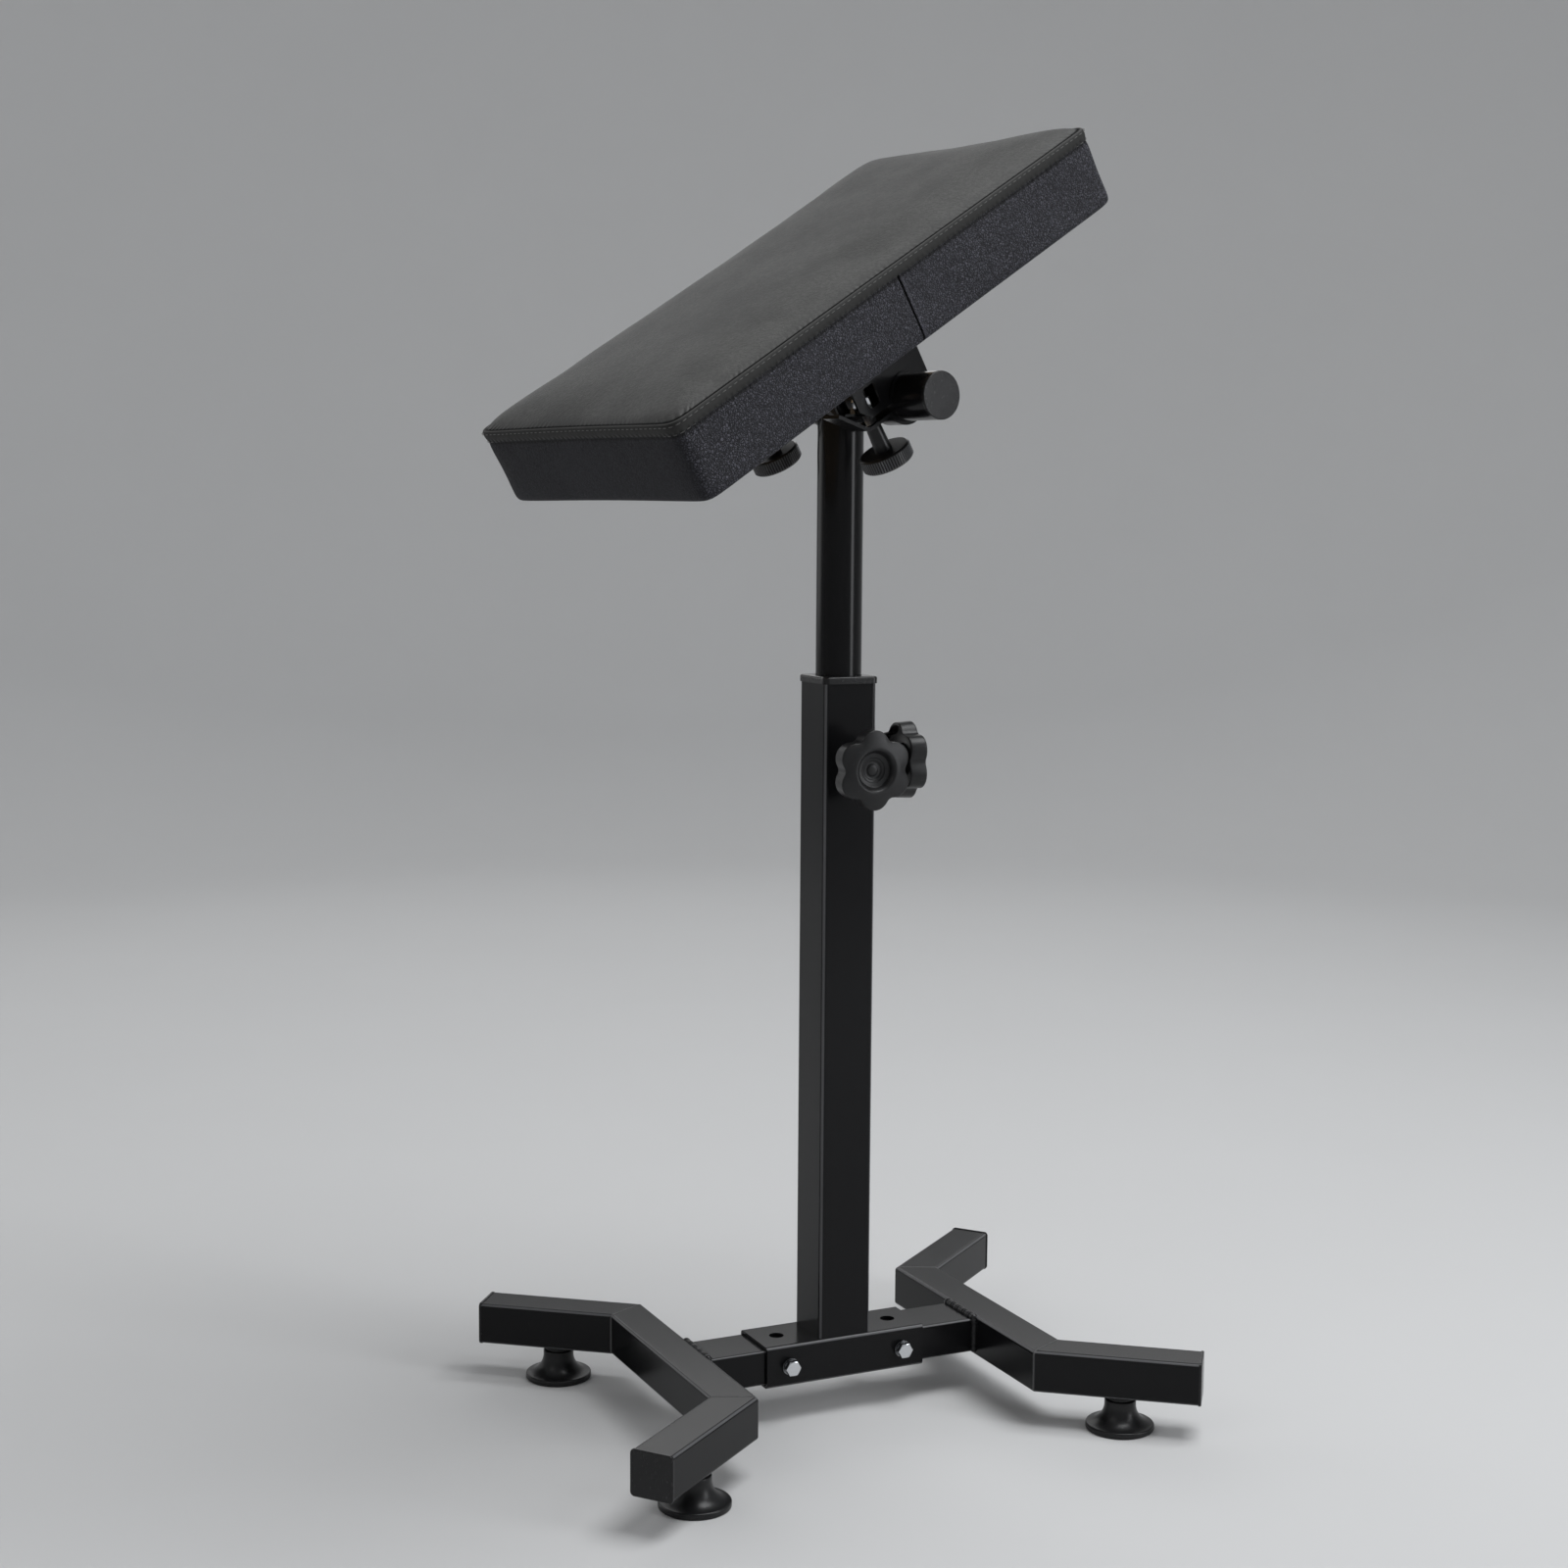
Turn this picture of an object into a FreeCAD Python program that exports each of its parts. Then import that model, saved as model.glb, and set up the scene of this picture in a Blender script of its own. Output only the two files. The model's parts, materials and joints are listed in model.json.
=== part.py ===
import FreeCAD, Part
import math
import os

from FreeCAD import Placement, Rotation, Vector

# Tattoo arm rest stand. Millimetres and degrees.
# The origin is on the floor under the column's axis. +X runs along the base sleeve,
# -Y is the front, +Z is up.

# Base frame
sleeve_length = 124.0
sleeve_depth = 45.0
frame_height = 30.0
sleeve_wall = 2.0
sleeve_edge_radius = 3.0
stub_clearance = 0.5
stub_wall = 2.0
stub_edge_radius = 2.0
stub_insertion = 38.0
cross_centre_x = 121.0
cross_half_length = 96.0
leg_length = 107.2
leg_angle = 38.0
leg_width = 30.0
leg_wall = 1.8
leg_edge_radius = 2.6
weld_bead_radius = 2.2
end_cap_flange = 2.0
end_cap_proud = 0.5
end_cap_edge = 0.8
end_cap_depth = 14.0
end_cap_wall = 1.6
end_cap_clearance = 0.2

# Frame bolts
frame_bolt_x = 44.5
frame_hole_diameter = 6.6
frame_bolt_diameter = 6.0
frame_bolt_flats = 10.0
frame_bolt_head_height = 4.0
frame_nut_height = 5.0
washer_diameter = 12.0
washer_thickness = 1.6
spring_washer_diameter = 11.0
spring_washer_thickness = 1.6
sleeve_top_hole_diameter = 10.5
bolt_end_length = 3.0

# Nuts for the 8 mm screws
hex_flats = 13.0
hex_nut_height = 6.5
hex_chamfer = 1.0

# Levelling feet
foot_from_mitre = 52.5
foot_height = 25.5
foot_gap = 0.3
foot_rim_diameter = 48.0
foot_rim_height = 4.4
foot_rim_edge = 1.2
foot_neck_diameter = 22.0
foot_neck_length = 8.0
foot_flare_rise = 3.2
foot_bore_floor = 7.0
foot_shoulder_diameter = 18.5
foot_shoulder_height = 3.6
foot_hole_diameter = 9.0
foot_stud_diameter = 8.0
foot_stud_top_gap = 5.0
thread_clearance = 0.08

# Column
column_size = 40.0
column_wall = 2.0
column_edge_radius = 3.0
column_length = 465.0
collar_lip_height = 5.0
collar_overhang = 1.0
collar_lip_edge = 1.6
collar_skirt_length = 30.0
collar_skirt_clearance = 0.1

# Lobed clamping knobs
clamp_screw_drop = 56.5
clamp_screw_diameter = 8.0
clamp_tip_gap = 0.3
clamp_hole_diameter = 9.0
knob_reach = 58.0
knob_radius = 27.5
knob_lobes = 6
knob_lobe_turn = 30.0
knob_lobe_radius = 10.5
knob_valley_radius = 5.0
knob_rim_thickness = 12.5
knob_rim_edge = 2.0
knob_ring_rise = 2.0
knob_ring_radius = 17.0
knob_dish_radius = 12.3
knob_dish_depth = 5.5
knob_boss_radius = 4.0
knob_boss_height = 1.2
knob_hub_diameter = 24.0
knob_hub_end_diameter = 19.0
knob_hub_gap = 2.5
knob_bore_cover = 4.0
knob_recess_radius = 18.5
knob_recess_depth = 6.5

# Post and T bar
post_diameter = 32.0
post_wall = 2.0
post_length = 440.0
slide_clearance = 0.3
post_clearance = 0.1
bar_height = 715.0
bar_length = 203.0
bar_wall = 2.0
bar_weld_size = 2.5
plug_flange = 2.5
plug_edge = 0.8
plug_depth = 12.0
plug_clearance = 0.15
swivel_angle = 12.9

# Guide bush at the post's foot
bush_height = 30.0
bush_edge_radius = 1.5
bush_spigot_length = 20.0
bush_screw_diameter = 6.0
bush_hole_diameter = 6.6
bush_recess_depth = 8.0
bush_recess_diameter = 20.0
bush_washer_diameter = 18.0
bush_washer_thickness = 1.6
bush_head_flats = 10.0
bush_head_height = 4.0
bush_plug_length = 18.0
bush_plug_gap = 0.3

# Pad
tilt_angle = 31.3
pad_length = 404.0
pad_width = 226.0
pad_thickness = 55.4
pad_crown = 13.0
pad_corner_radius = 13.0
pad_corner_growth_share = 0.3
pad_corner_limit_share = 0.45
pad_offset = -2.5
pad_underside = 38.7
pad_band_height = 7.6
pad_under_edge = 3.0
pad_side_draw = 1.4
pad_seam_depth = 1.2
pad_seam_height = 1.8
board_thickness = 12.0
board_margin = 14.0
board_corner_radius = 10.0
board_clearance = 0.3

# T bar clamps
clamp_spacing = 120.0
bracket_width = 24.0
bracket_sheet = 2.0
bracket_low_end = 43.0
bracket_high_end = 22.0
bracket_low_depth = 4.0
bracket_high_depth = 8.0
bracket_low_corner = 8.0
bracket_lip_width = 2.4
bracket_lip_rise = 1.4
bar_clearance = 0.1
window_width = 11.0
window_top = 24.0
window_corner = 2.5
nut_seat_height = 9.5
grip_screw_x = -28.7
grip_screw_diameter = 8.0
grip_screw_hole = 9.0
grip_screw_tip = 21.0
hook_wall_drop = 15.0
hook_slot_width = 12.0
hook_slot_height = 5.0
hook_slot_drop = 8.5
jaw_sheet = 2.4
jaw_flange_height = -2.2
jaw_flange_end = -38.0
jaw_lip_reach = 18.0
jaw_lip_rise = 20.3
jaw_width = 16.0
jaw_bend_radius = 6.0
jaw_tongue_width = 9.0
jaw_tongue_length = 11.0
jaw_hook_gap = 1.0
jaw_slot_width = 9.4
jaw_slot_slack = 3.4
grip_knob_diameter = 36.0
grip_knob_height = 10.5
grip_knob_edge = 1.4
grip_knob_ribs = 60
grip_knob_rib_depth = 0.5
grip_stem_length = 18.6
grip_stem_diameter = 10.5
grip_stem_root_diameter = 12.0
grip_bore_cover = 3.0
grip_seat_gap = 0.3
bracket_screw_x = 9.0
bracket_screw_diameter = 6.0
bracket_screw_head = 11.0
bracket_screw_head_height = 3.2
tee_nut_flange = 18.0
tee_nut_flange_thickness = 1.4
tee_nut_barrel = 8.0
tee_nut_wall_gap = 0.2

# One overrun for every cut
overrun = 1.0

# Worked out sizes
frame_bottom = foot_height
frame_top = frame_bottom + frame_height
frame_middle = frame_bottom + frame_height / 2
sleeve_half_length = sleeve_length / 2
column_top = frame_top + column_length
clamp_screw_height = column_top - clamp_screw_drop
post_radius = post_diameter / 2
post_bottom = bar_height - post_length
bar_radius = post_radius
stub_depth = sleeve_depth - 2 * (sleeve_wall + stub_clearance)
stub_height = frame_height - 2 * (sleeve_wall + stub_clearance)
stub_bottom = frame_bottom + sleeve_wall + stub_clearance
column_inside = column_size - 2 * column_wall
bracket_top = pad_underside - bracket_sheet
jaw_radius = bar_radius + bar_clearance
jaw_outer_radius = jaw_radius + jaw_sheet
jaw_back = bracket_high_end + jaw_hook_gap

up = Vector(0, 0, 1)
mast_place = Placement(Vector(0, 0, bar_height), Rotation(up, swivel_angle))
pad_place = mast_place.multiply(Placement(Vector(0, 0, 0), Rotation(Vector(0, -1, 0), tilt_angle)))


def on_place(shape, place):
    moved = shape.copy()
    moved.Placement = place.multiply(moved.Placement)
    return moved


def turned(shape, axis, angle):
    moved = shape.copy()
    moved.rotate(Vector(0, 0, 0), axis, angle)
    return moved


def shifted(shape, x, y, z):
    moved = shape.copy()
    moved.translate(Vector(x, y, z))
    return moved


def mirrored(shape, normal):
    return shape.mirror(Vector(0, 0, 0), normal)


def box(x_low, x_high, y_low, y_high, z_low, z_high):
    corner = Vector(x_low, y_low, z_low)
    return Part.makeBox(x_high - x_low, y_high - y_low, z_high - z_low, corner)


def cylinder(radius, z_low, z_high):
    return Part.makeCylinder(radius, z_high - z_low, Vector(0, 0, z_low))


def tube(outer_radius, inner_radius, z_low, z_high):
    bore = cylinder(inner_radius, z_low - overrun, z_high + overrun)
    return cylinder(outer_radius, z_low, z_high).cut(bore)


def hole_along_y(radius, x, z, y_low, y_high):
    return Part.makeCylinder(radius, y_high - y_low, Vector(x, y_low, z), Vector(0, 1, 0))


def fused(shapes):
    whole = shapes[0].fuse(shapes[1:])
    return whole.removeSplitter()


def round_rectangle(length, width, radius, z):
    """A rectangle in the XY plane with quarter round corners, as one wire."""
    half_x = length / 2
    half_y = width / 2
    edges = []
    slant = radius * math.sqrt(0.5)
    for turn in range(4):
        if turn % 2 == 0:
            along, across = half_x, half_y
        else:
            along, across = half_y, half_x
        start = Vector(along, -across + radius, z)
        end = Vector(along, across - radius, z)
        middle = Vector(along - radius + slant, across - radius + slant, z)
        finish = Vector(along - radius, across, z)
        side = Part.LineSegment(start, end).toShape()
        corner = Part.Arc(end, middle, finish).toShape()
        for edge in (side, corner):
            edge.rotate(Vector(0, 0, 0), up, 90 * turn)
            edges.append(edge)
    return Part.Wire(edges)


def round_block(length, width, radius, z_low, z_high):
    face = Part.Face(round_rectangle(length, width, radius, z_low))
    return face.extrude(Vector(0, 0, z_high - z_low))


def square_tube(length, width, radius, wall, z_low, z_high):
    outer = round_block(length, width, radius, z_low, z_high)
    inner_radius = max(radius - wall, wall / 4)
    inner = round_block(length - 2 * wall, width - 2 * wall, inner_radius, z_low - overrun, z_high + overrun)
    return outer.cut(inner)


def hex_prism(flats, height, chamfer):
    """A hexagon standing on the XY plane with its corners turned off at both ends."""
    corner_radius = flats / math.sqrt(3)
    points = []
    for corner in range(7):
        angle = math.radians(60 * corner)
        points.append(Vector(corner_radius * math.cos(angle), corner_radius * math.sin(angle), 0))
    prism = Part.Face(Part.makePolygon(points)).extrude(Vector(0, 0, height))
    turned_off = revolved([
        (0, 0), (corner_radius - chamfer, 0), (corner_radius, chamfer / 2),
        (corner_radius, height - chamfer / 2), (corner_radius - chamfer, height), (0, height),
    ])
    return prism.common(turned_off)


def hex_nut(flats, height, bore_radius):
    bore = cylinder(bore_radius, -overrun, height + overrun)
    return hex_prism(flats, height, hex_chamfer).cut(bore)


def profile_wire(points):
    return Part.makePolygon([Vector(x, 0, z) for x, z in points + points[:1]])


def revolved(points):
    """A closed outline of (radius, height) points turned round the Z axis."""
    return Part.Face(profile_wire(points)).revolve(Vector(0, 0, 0), up, 360)


# Base frame

def make_base_sleeve():
    sleeve = square_tube(frame_height, sleeve_depth, sleeve_edge_radius, sleeve_wall,
                         -sleeve_half_length, sleeve_half_length)
    sleeve = turned(sleeve, Vector(0, 1, 0), 90)
    sleeve = shifted(sleeve, 0, 0, frame_middle)
    radius = frame_hole_diameter / 2
    for side in (-1, 1):
        x = side * frame_bolt_x
        reach = sleeve_depth / 2 + overrun
        sleeve = sleeve.cut(hole_along_y(radius, x, frame_middle, -reach, reach))
        top_hole = cylinder(sleeve_top_hole_diameter / 2, frame_middle, frame_top + overrun)
        sleeve = sleeve.cut(shifted(top_hole, x, 0, 0))
    return sleeve


def make_stub(side):
    inner_x = sleeve_half_length - stub_insertion
    outer_x = cross_centre_x - leg_width / 2
    stub = square_tube(stub_height, stub_depth, stub_edge_radius, stub_wall, inner_x, outer_x)
    stub = turned(stub, Vector(0, 1, 0), 90)
    stub = shifted(stub, 0, 0, frame_middle)
    reach = sleeve_depth / 2
    stub = stub.cut(hole_along_y(frame_hole_diameter / 2, frame_bolt_x, frame_middle, -reach, reach))
    if side < 0:
        stub = mirrored(stub, Vector(1, 0, 0))
    return stub


def mitre_cutter(turn):
    """A block beyond the mitre plane through the origin, for a tube that lies along +X."""
    size = 4 * leg_width
    block = box(-size, 0, -size, size, -size, size)
    return turned(block, up, turn)


def leg_tube(length):
    bar = square_tube(frame_height, leg_width, leg_edge_radius, leg_wall, -leg_width, length)
    return turned(bar, Vector(0, 1, 0), 90)


def mitre_half_angle():
    return (90 - leg_angle) / 2


def make_cross(side):
    """The middle piece of one leg frame, along Y, mitred at both ends."""
    reach = cross_half_length + leg_width
    bar = square_tube(frame_height, leg_width, leg_edge_radius, leg_wall, -reach, reach)
    bar = turned(turned(bar, Vector(0, 1, 0), 90), up, 90)
    for end in (-1, 1):
        cutter = turned(mitre_cutter(-end * mitre_half_angle()), up, -90 * end)
        bar = bar.cut(shifted(cutter, 0, end * cross_half_length, 0))
    bar = shifted(bar, cross_centre_x, 0, frame_middle)
    if side < 0:
        bar = mirrored(bar, Vector(1, 0, 0))
    return bar


def leg_place(side, end):
    """Where a leg starts and how it is turned: side is -1 left, end is -1 front."""
    angle = leg_angle * side * end
    if side < 0:
        angle = angle + 180
    start = Vector(side * cross_centre_x, end * cross_half_length, frame_middle)
    return Placement(start, Rotation(up, angle))


def make_leg(side, end):
    """One angled end piece, mitred at the crossbar, with the foot's hole below."""
    leg = leg_tube(leg_length)
    turn = mitre_half_angle() * side * end
    leg = leg.cut(mitre_cutter(turn))
    hole = cylinder(foot_hole_diameter / 2, -frame_height / 2 - overrun, 0)
    leg = leg.cut(shifted(hole, foot_from_mitre, 0, 0))
    return on_place(leg, leg_place(side, end))


def corners():
    return [(side, end) for side in (-1, 1) for end in (-1, 1)]


def make_end_caps():
    """Pressed-in caps with a flange that stands a little proud of the leg all round."""
    caps = []
    for side, end in corners():
        flange_end = leg_length + end_cap_flange
        grow = 2 * end_cap_proud
        flange = round_block(frame_height + grow, leg_width + grow, leg_edge_radius + end_cap_proud,
                             leg_length, flange_end)
        outer_edges = [edge for edge in flange.Edges if edge.BoundBox.ZMin > flange_end - end_cap_edge]
        flange = flange.makeFillet(end_cap_edge, outer_edges)
        shrink = 2 * (leg_wall + end_cap_clearance)
        shell = square_tube(frame_height - shrink, leg_width - shrink, leg_edge_radius / 2,
                            end_cap_wall, leg_length - end_cap_depth, leg_length)
        cap = turned(fused([flange, shell]), Vector(0, 1, 0), 90)
        caps.append(on_place(cap, leg_place(side, end)))
    return Part.makeCompound(caps)


def bead(start, end):
    """A straight weld bead: a round bar with rounded ends."""
    run = end.sub(start)
    bar = Part.makeCylinder(weld_bead_radius, run.Length, start, run)
    ends = [Part.makeSphere(weld_bead_radius, place) for place in (start, end)]
    return fused([bar] + ends)


def make_stub_welds():
    """Fillet beads where each stub meets its crossbar: above, in front and behind."""
    x = cross_centre_x - leg_width / 2
    top = stub_bottom + stub_height
    half = stub_depth / 2
    low = stub_bottom + stub_edge_radius
    high = top - stub_edge_radius
    beads = [bead(Vector(x, -half, top), Vector(x, half, top))]
    for y in (-half, half):
        beads.append(bead(Vector(x, y, low), Vector(x, y, high)))
    solid = fused(beads)
    stub_space = box(0, x + overrun, -half, half, stub_bottom, top)
    cross_space = box(x, x + leg_width, -sleeve_depth, sleeve_depth, 0, frame_top + frame_height)
    solid = solid.cut(stub_space).cut(cross_space)
    return Part.makeCompound([solid, mirrored(solid, Vector(1, 0, 0))])


def facing_front(shape, x, y, z):
    """Turns a fastener that stands on the XY plane so that its top faces -Y."""
    return shifted(turned(shape, Vector(1, 0, 0), 90), x, y, z)


def facing_rear(shape, x, y, z):
    return shifted(turned(shape, Vector(1, 0, 0), -90), x, y, z)


def make_frame_bolts():
    """Hex bolts from the front through the sleeve and the stubs."""
    head_y = sleeve_depth / 2 + washer_thickness + spring_washer_thickness
    shank_end = sleeve_depth / 2 + washer_thickness + frame_nut_height + bolt_end_length
    shank = cylinder(frame_bolt_diameter / 2, -head_y - shank_end, 0)
    bolt = fused([hex_prism(frame_bolt_flats, frame_bolt_head_height, hex_chamfer), shank])
    bolts = [facing_front(bolt, side * frame_bolt_x, -head_y, frame_middle) for side in (-1, 1)]
    return Part.makeCompound(bolts)


def make_frame_washers():
    washer = tube(washer_diameter / 2, frame_hole_diameter / 2, 0, washer_thickness)
    rings = []
    for side in (-1, 1):
        x = side * frame_bolt_x
        rings.append(facing_front(washer, x, -sleeve_depth / 2, frame_middle))
        rings.append(facing_rear(washer, x, sleeve_depth / 2, frame_middle))
    return Part.makeCompound(rings)


def make_spring_washers():
    y = -sleeve_depth / 2 - washer_thickness
    ring = tube(spring_washer_diameter / 2, frame_hole_diameter / 2, 0, spring_washer_thickness)
    gap = box(0, spring_washer_diameter, 0, washer_thickness, -overrun, spring_washer_thickness + overrun)
    ring = ring.cut(gap)
    rings = [facing_front(ring, side * frame_bolt_x, y, frame_middle) for side in (-1, 1)]
    return Part.makeCompound(rings)


def make_frame_nuts():
    nut = hex_nut(frame_bolt_flats, frame_nut_height, frame_bolt_diameter / 2)
    y = sleeve_depth / 2 + washer_thickness
    nuts = [facing_rear(nut, side * frame_bolt_x, y, frame_middle) for side in (-1, 1)]
    return Part.makeCompound(nuts)


# Levelling feet

def foot_point(side, end):
    place = leg_place(side, end)
    spot = place.multVec(Vector(foot_from_mitre, 0, 0))
    return spot.x, spot.y


def make_foot_nuts():
    nut = hex_nut(hex_flats, hex_nut_height, foot_stud_diameter / 2 + thread_clearance)
    nuts = []
    for side, end in corners():
        x, y = foot_point(side, end)
        nuts.append(shifted(nut, x, y, frame_bottom + leg_wall))
    return Part.makeCompound(nuts)


def make_foot_stud(side, end):
    x, y = foot_point(side, end)
    top = frame_top - leg_wall - foot_stud_top_gap
    stud = cylinder(foot_stud_diameter / 2, foot_bore_floor, top)
    return shifted(stud, x, y, 0)


def make_foot_glide(side, end):
    """A bell shaped glide: a thin rim, a hollow flare, a round neck and a narrower shoulder."""
    x, y = foot_point(side, end)
    top = foot_height - foot_gap
    rim = foot_rim_diameter / 2
    neck = foot_neck_diameter / 2
    shoulder = foot_shoulder_diameter / 2
    neck_top = top - foot_shoulder_height
    flare_start = rim - foot_rim_edge
    flare_low = Vector(flare_start, 0, foot_rim_height)
    flare_high = Vector(neck, 0, top - foot_neck_length)
    flare_middle = Vector((flare_start + neck) / 2 - foot_rim_edge, 0, foot_rim_height + foot_flare_rise)
    below_flare = [
        Vector(0, 0, top), Vector(0, 0, 0), Vector(flare_start, 0, 0), Vector(rim, 0, foot_rim_edge),
        Vector(rim, 0, foot_rim_height - foot_rim_edge), flare_low,
    ]
    above_flare = [
        flare_high, Vector(neck, 0, neck_top - foot_rim_edge), Vector(neck - foot_rim_edge, 0, neck_top),
        Vector(shoulder, 0, neck_top), Vector(shoulder, 0, top), Vector(0, 0, top),
    ]
    outline = []
    for points in (below_flare, above_flare):
        outline.extend(Part.makePolygon(points).Edges)
    outline.insert(len(below_flare) - 1, Part.Arc(flare_low, flare_middle, flare_high).toShape())
    glide = Part.Face(Part.Wire(outline)).revolve(Vector(0, 0, 0), up, 360)
    bore = cylinder(foot_stud_diameter / 2 + thread_clearance, foot_bore_floor, top + overrun)
    return shifted(glide.cut(bore), x, y, 0)


# Column

def make_column_tube():
    column = square_tube(column_size, column_size, column_edge_radius, column_wall,
                         frame_top, column_top)
    hole = hole_along_y(clamp_hole_diameter / 2, 0, clamp_screw_height, -column_size, 0)
    return column.cut(hole).cut(turned(hole, up, 90))


def make_column_collar():
    """The plastic guide at the column's mouth: a lip outside and a skirt inside."""
    lip_size = column_size + 2 * collar_overhang
    top = column_top + collar_lip_height
    lip = round_block(lip_size, lip_size, column_edge_radius + collar_overhang, column_top, top)
    upper_edges = [edge for edge in lip.Edges if edge.BoundBox.ZMin > top - collar_lip_edge]
    lip = lip.makeFillet(collar_lip_edge, upper_edges)
    skirt_size = column_inside - 2 * collar_skirt_clearance
    skirt = round_block(skirt_size, skirt_size, column_edge_radius - column_wall,
                        column_top - collar_skirt_length, column_top)
    bore = cylinder(post_radius + post_clearance, column_top - collar_skirt_length - overrun, top + overrun)
    return fused([lip, skirt]).cut(bore)


def out_of_front(shape):
    """Turns a piece that stands along +Z from the axis so that it leaves the column's front."""
    return shifted(turned(shape, Vector(1, 0, 0), 90), 0, 0, clamp_screw_height)


def out_of_side(shape):
    return shifted(turned(turned(shape, Vector(1, 0, 0), 90), up, 90), 0, 0, clamp_screw_height)


def make_column_nuts():
    nut = hex_nut(hex_flats, hex_nut_height, clamp_screw_diameter / 2 + thread_clearance)
    nut = shifted(nut, 0, 0, column_size / 2)
    return Part.makeCompound([out_of_front(nut), out_of_side(nut)])


# Lobed clamping knobs

def make_clamp_stud():
    inner = post_radius + clamp_tip_gap
    outer = knob_reach - knob_dish_depth - knob_bore_cover
    return cylinder(clamp_screw_diameter / 2, inner, outer)


def lobed_wire(z):
    """Six lobes and six hollows, each an arc that runs into the next."""
    lobe_centre = knob_radius - knob_lobe_radius
    step = math.radians(180 / knob_lobes)
    both = knob_lobe_radius + knob_valley_radius
    half_b = lobe_centre * math.cos(step)
    valley_centre = half_b + math.sqrt(half_b ** 2 - lobe_centre ** 2 + both ** 2)
    lobe_share = knob_lobe_radius / both

    def around(radius, angle):
        return Vector(radius * math.cos(angle), radius * math.sin(angle), z)

    edges = []
    for lobe in range(knob_lobes):
        angle = 2 * step * lobe + math.radians(knob_lobe_turn)
        centre = around(lobe_centre, angle)
        before = around(valley_centre, angle - step)
        after = around(valley_centre, angle + step)
        following = around(lobe_centre, angle + 2 * step)
        start = centre.add(before.sub(centre).multiply(lobe_share))
        end = centre.add(after.sub(centre).multiply(lobe_share))
        finish = following.add(after.sub(following).multiply(lobe_share))
        edges.append(Part.Arc(start, around(knob_radius, angle), end).toShape())
        hollow = around(valley_centre - knob_valley_radius, angle + step)
        edges.append(Part.Arc(end, hollow, finish).toShape())
    return Part.Wire(edges)


def make_clamp_knob():
    """Lobed head, dished in front and hollow behind, on a tapered hub."""
    rim_low = knob_reach - knob_rim_thickness
    head = Part.Face(lobed_wire(rim_low)).extrude(Vector(0, 0, knob_rim_thickness))
    rim_edges = [edge for edge in head.Edges if edge.BoundBox.ZLength < knob_rim_edge]
    head = head.makeFillet(knob_rim_edge, rim_edges)
    ring = revolved([
        (0, rim_low + knob_rim_edge), (knob_ring_radius + 2 * knob_ring_rise, rim_low + knob_rim_edge),
        (knob_ring_radius + 2 * knob_ring_rise, knob_reach), (knob_ring_radius, knob_reach + knob_ring_rise),
        (knob_dish_radius + knob_ring_rise, knob_reach + knob_ring_rise), (0, knob_reach + knob_ring_rise),
    ])
    dish_floor = knob_reach - knob_dish_depth
    dish = revolved([
        (0, dish_floor), (knob_dish_radius - knob_dish_depth / 2, dish_floor),
        (knob_dish_radius, knob_reach),
        (knob_dish_radius + knob_ring_rise, knob_reach + knob_ring_rise + overrun),
        (0, knob_reach + knob_ring_rise + overrun),
    ])
    boss = cylinder(knob_boss_radius, dish_floor - knob_boss_height, dish_floor + knob_boss_height)
    hub_low = column_size / 2 + hex_nut_height + knob_hub_gap
    hub = Part.makeCone(knob_hub_end_diameter / 2, knob_hub_diameter / 2, rim_low + knob_rim_edge - hub_low,
                        Vector(0, 0, hub_low))
    knob = fused([head, ring]).cut(dish)
    knob = fused([knob, hub, boss])
    hollow_top = rim_low + knob_recess_depth
    knob = knob.cut(tube(knob_recess_radius, knob_hub_diameter / 2, rim_low - overrun, hollow_top))
    bore_top = knob_reach - knob_dish_depth - knob_bore_cover
    bore = cylinder(clamp_screw_diameter / 2 + thread_clearance, hub_low - overrun, bore_top)
    return knob.cut(bore)


# Guide bush, post and T bar

def make_guide_bush():
    """The square bush at the post's foot, with a round spigot that the post turns on."""
    size = column_inside - 2 * slide_clearance
    low = post_bottom - bush_height
    block = round_block(size, size, bush_edge_radius, low, post_bottom)
    spigot_radius = post_radius - post_wall - post_clearance
    spigot = cylinder(spigot_radius, post_bottom, post_bottom + bush_spigot_length)
    bush = fused([block, spigot])
    hole = cylinder(bush_hole_diameter / 2, low - overrun, post_bottom + bush_spigot_length + overrun)
    recess = cylinder(bush_recess_diameter / 2, low - overrun, low + bush_recess_depth)
    return bush.cut(hole).cut(recess)


def make_post_plug():
    low = post_bottom + bush_spigot_length + bush_plug_gap
    return tube(post_radius - post_wall, bush_screw_diameter / 2, low, low + bush_plug_length)


def bush_washer_top():
    return post_bottom - bush_height + bush_recess_depth - bush_plug_gap


def make_post_washer():
    top = bush_washer_top()
    return tube(bush_washer_diameter / 2, bush_hole_diameter / 2, top - bush_washer_thickness, top)


def make_post_screw():
    seat = bush_washer_top() - bush_washer_thickness
    tip = post_bottom + bush_spigot_length + bush_plug_gap + bush_plug_length
    head = shifted(hex_prism(bush_head_flats, bush_head_height, hex_chamfer), 0, 0, seat - bush_head_height)
    return fused([head, cylinder(bush_screw_diameter / 2, seat, tip)])


def bar_cylinder(radius, length):
    """A round bar on the T bar's axis, in the T bar's own frame."""
    return Part.makeCylinder(radius, length, Vector(0, -length / 2, 0), Vector(0, 1, 0))


def make_post_tube():
    post = tube(post_radius, post_radius - post_wall, post_bottom - bar_height, 0)
    post = post.cut(bar_cylinder(bar_radius, 2 * post_diameter))
    return on_place(post, mast_place)


def make_t_bar():
    bore = bar_cylinder(bar_radius - bar_wall, bar_length + 2 * overrun)
    return on_place(bar_cylinder(bar_radius, bar_length).cut(bore), mast_place)


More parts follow.
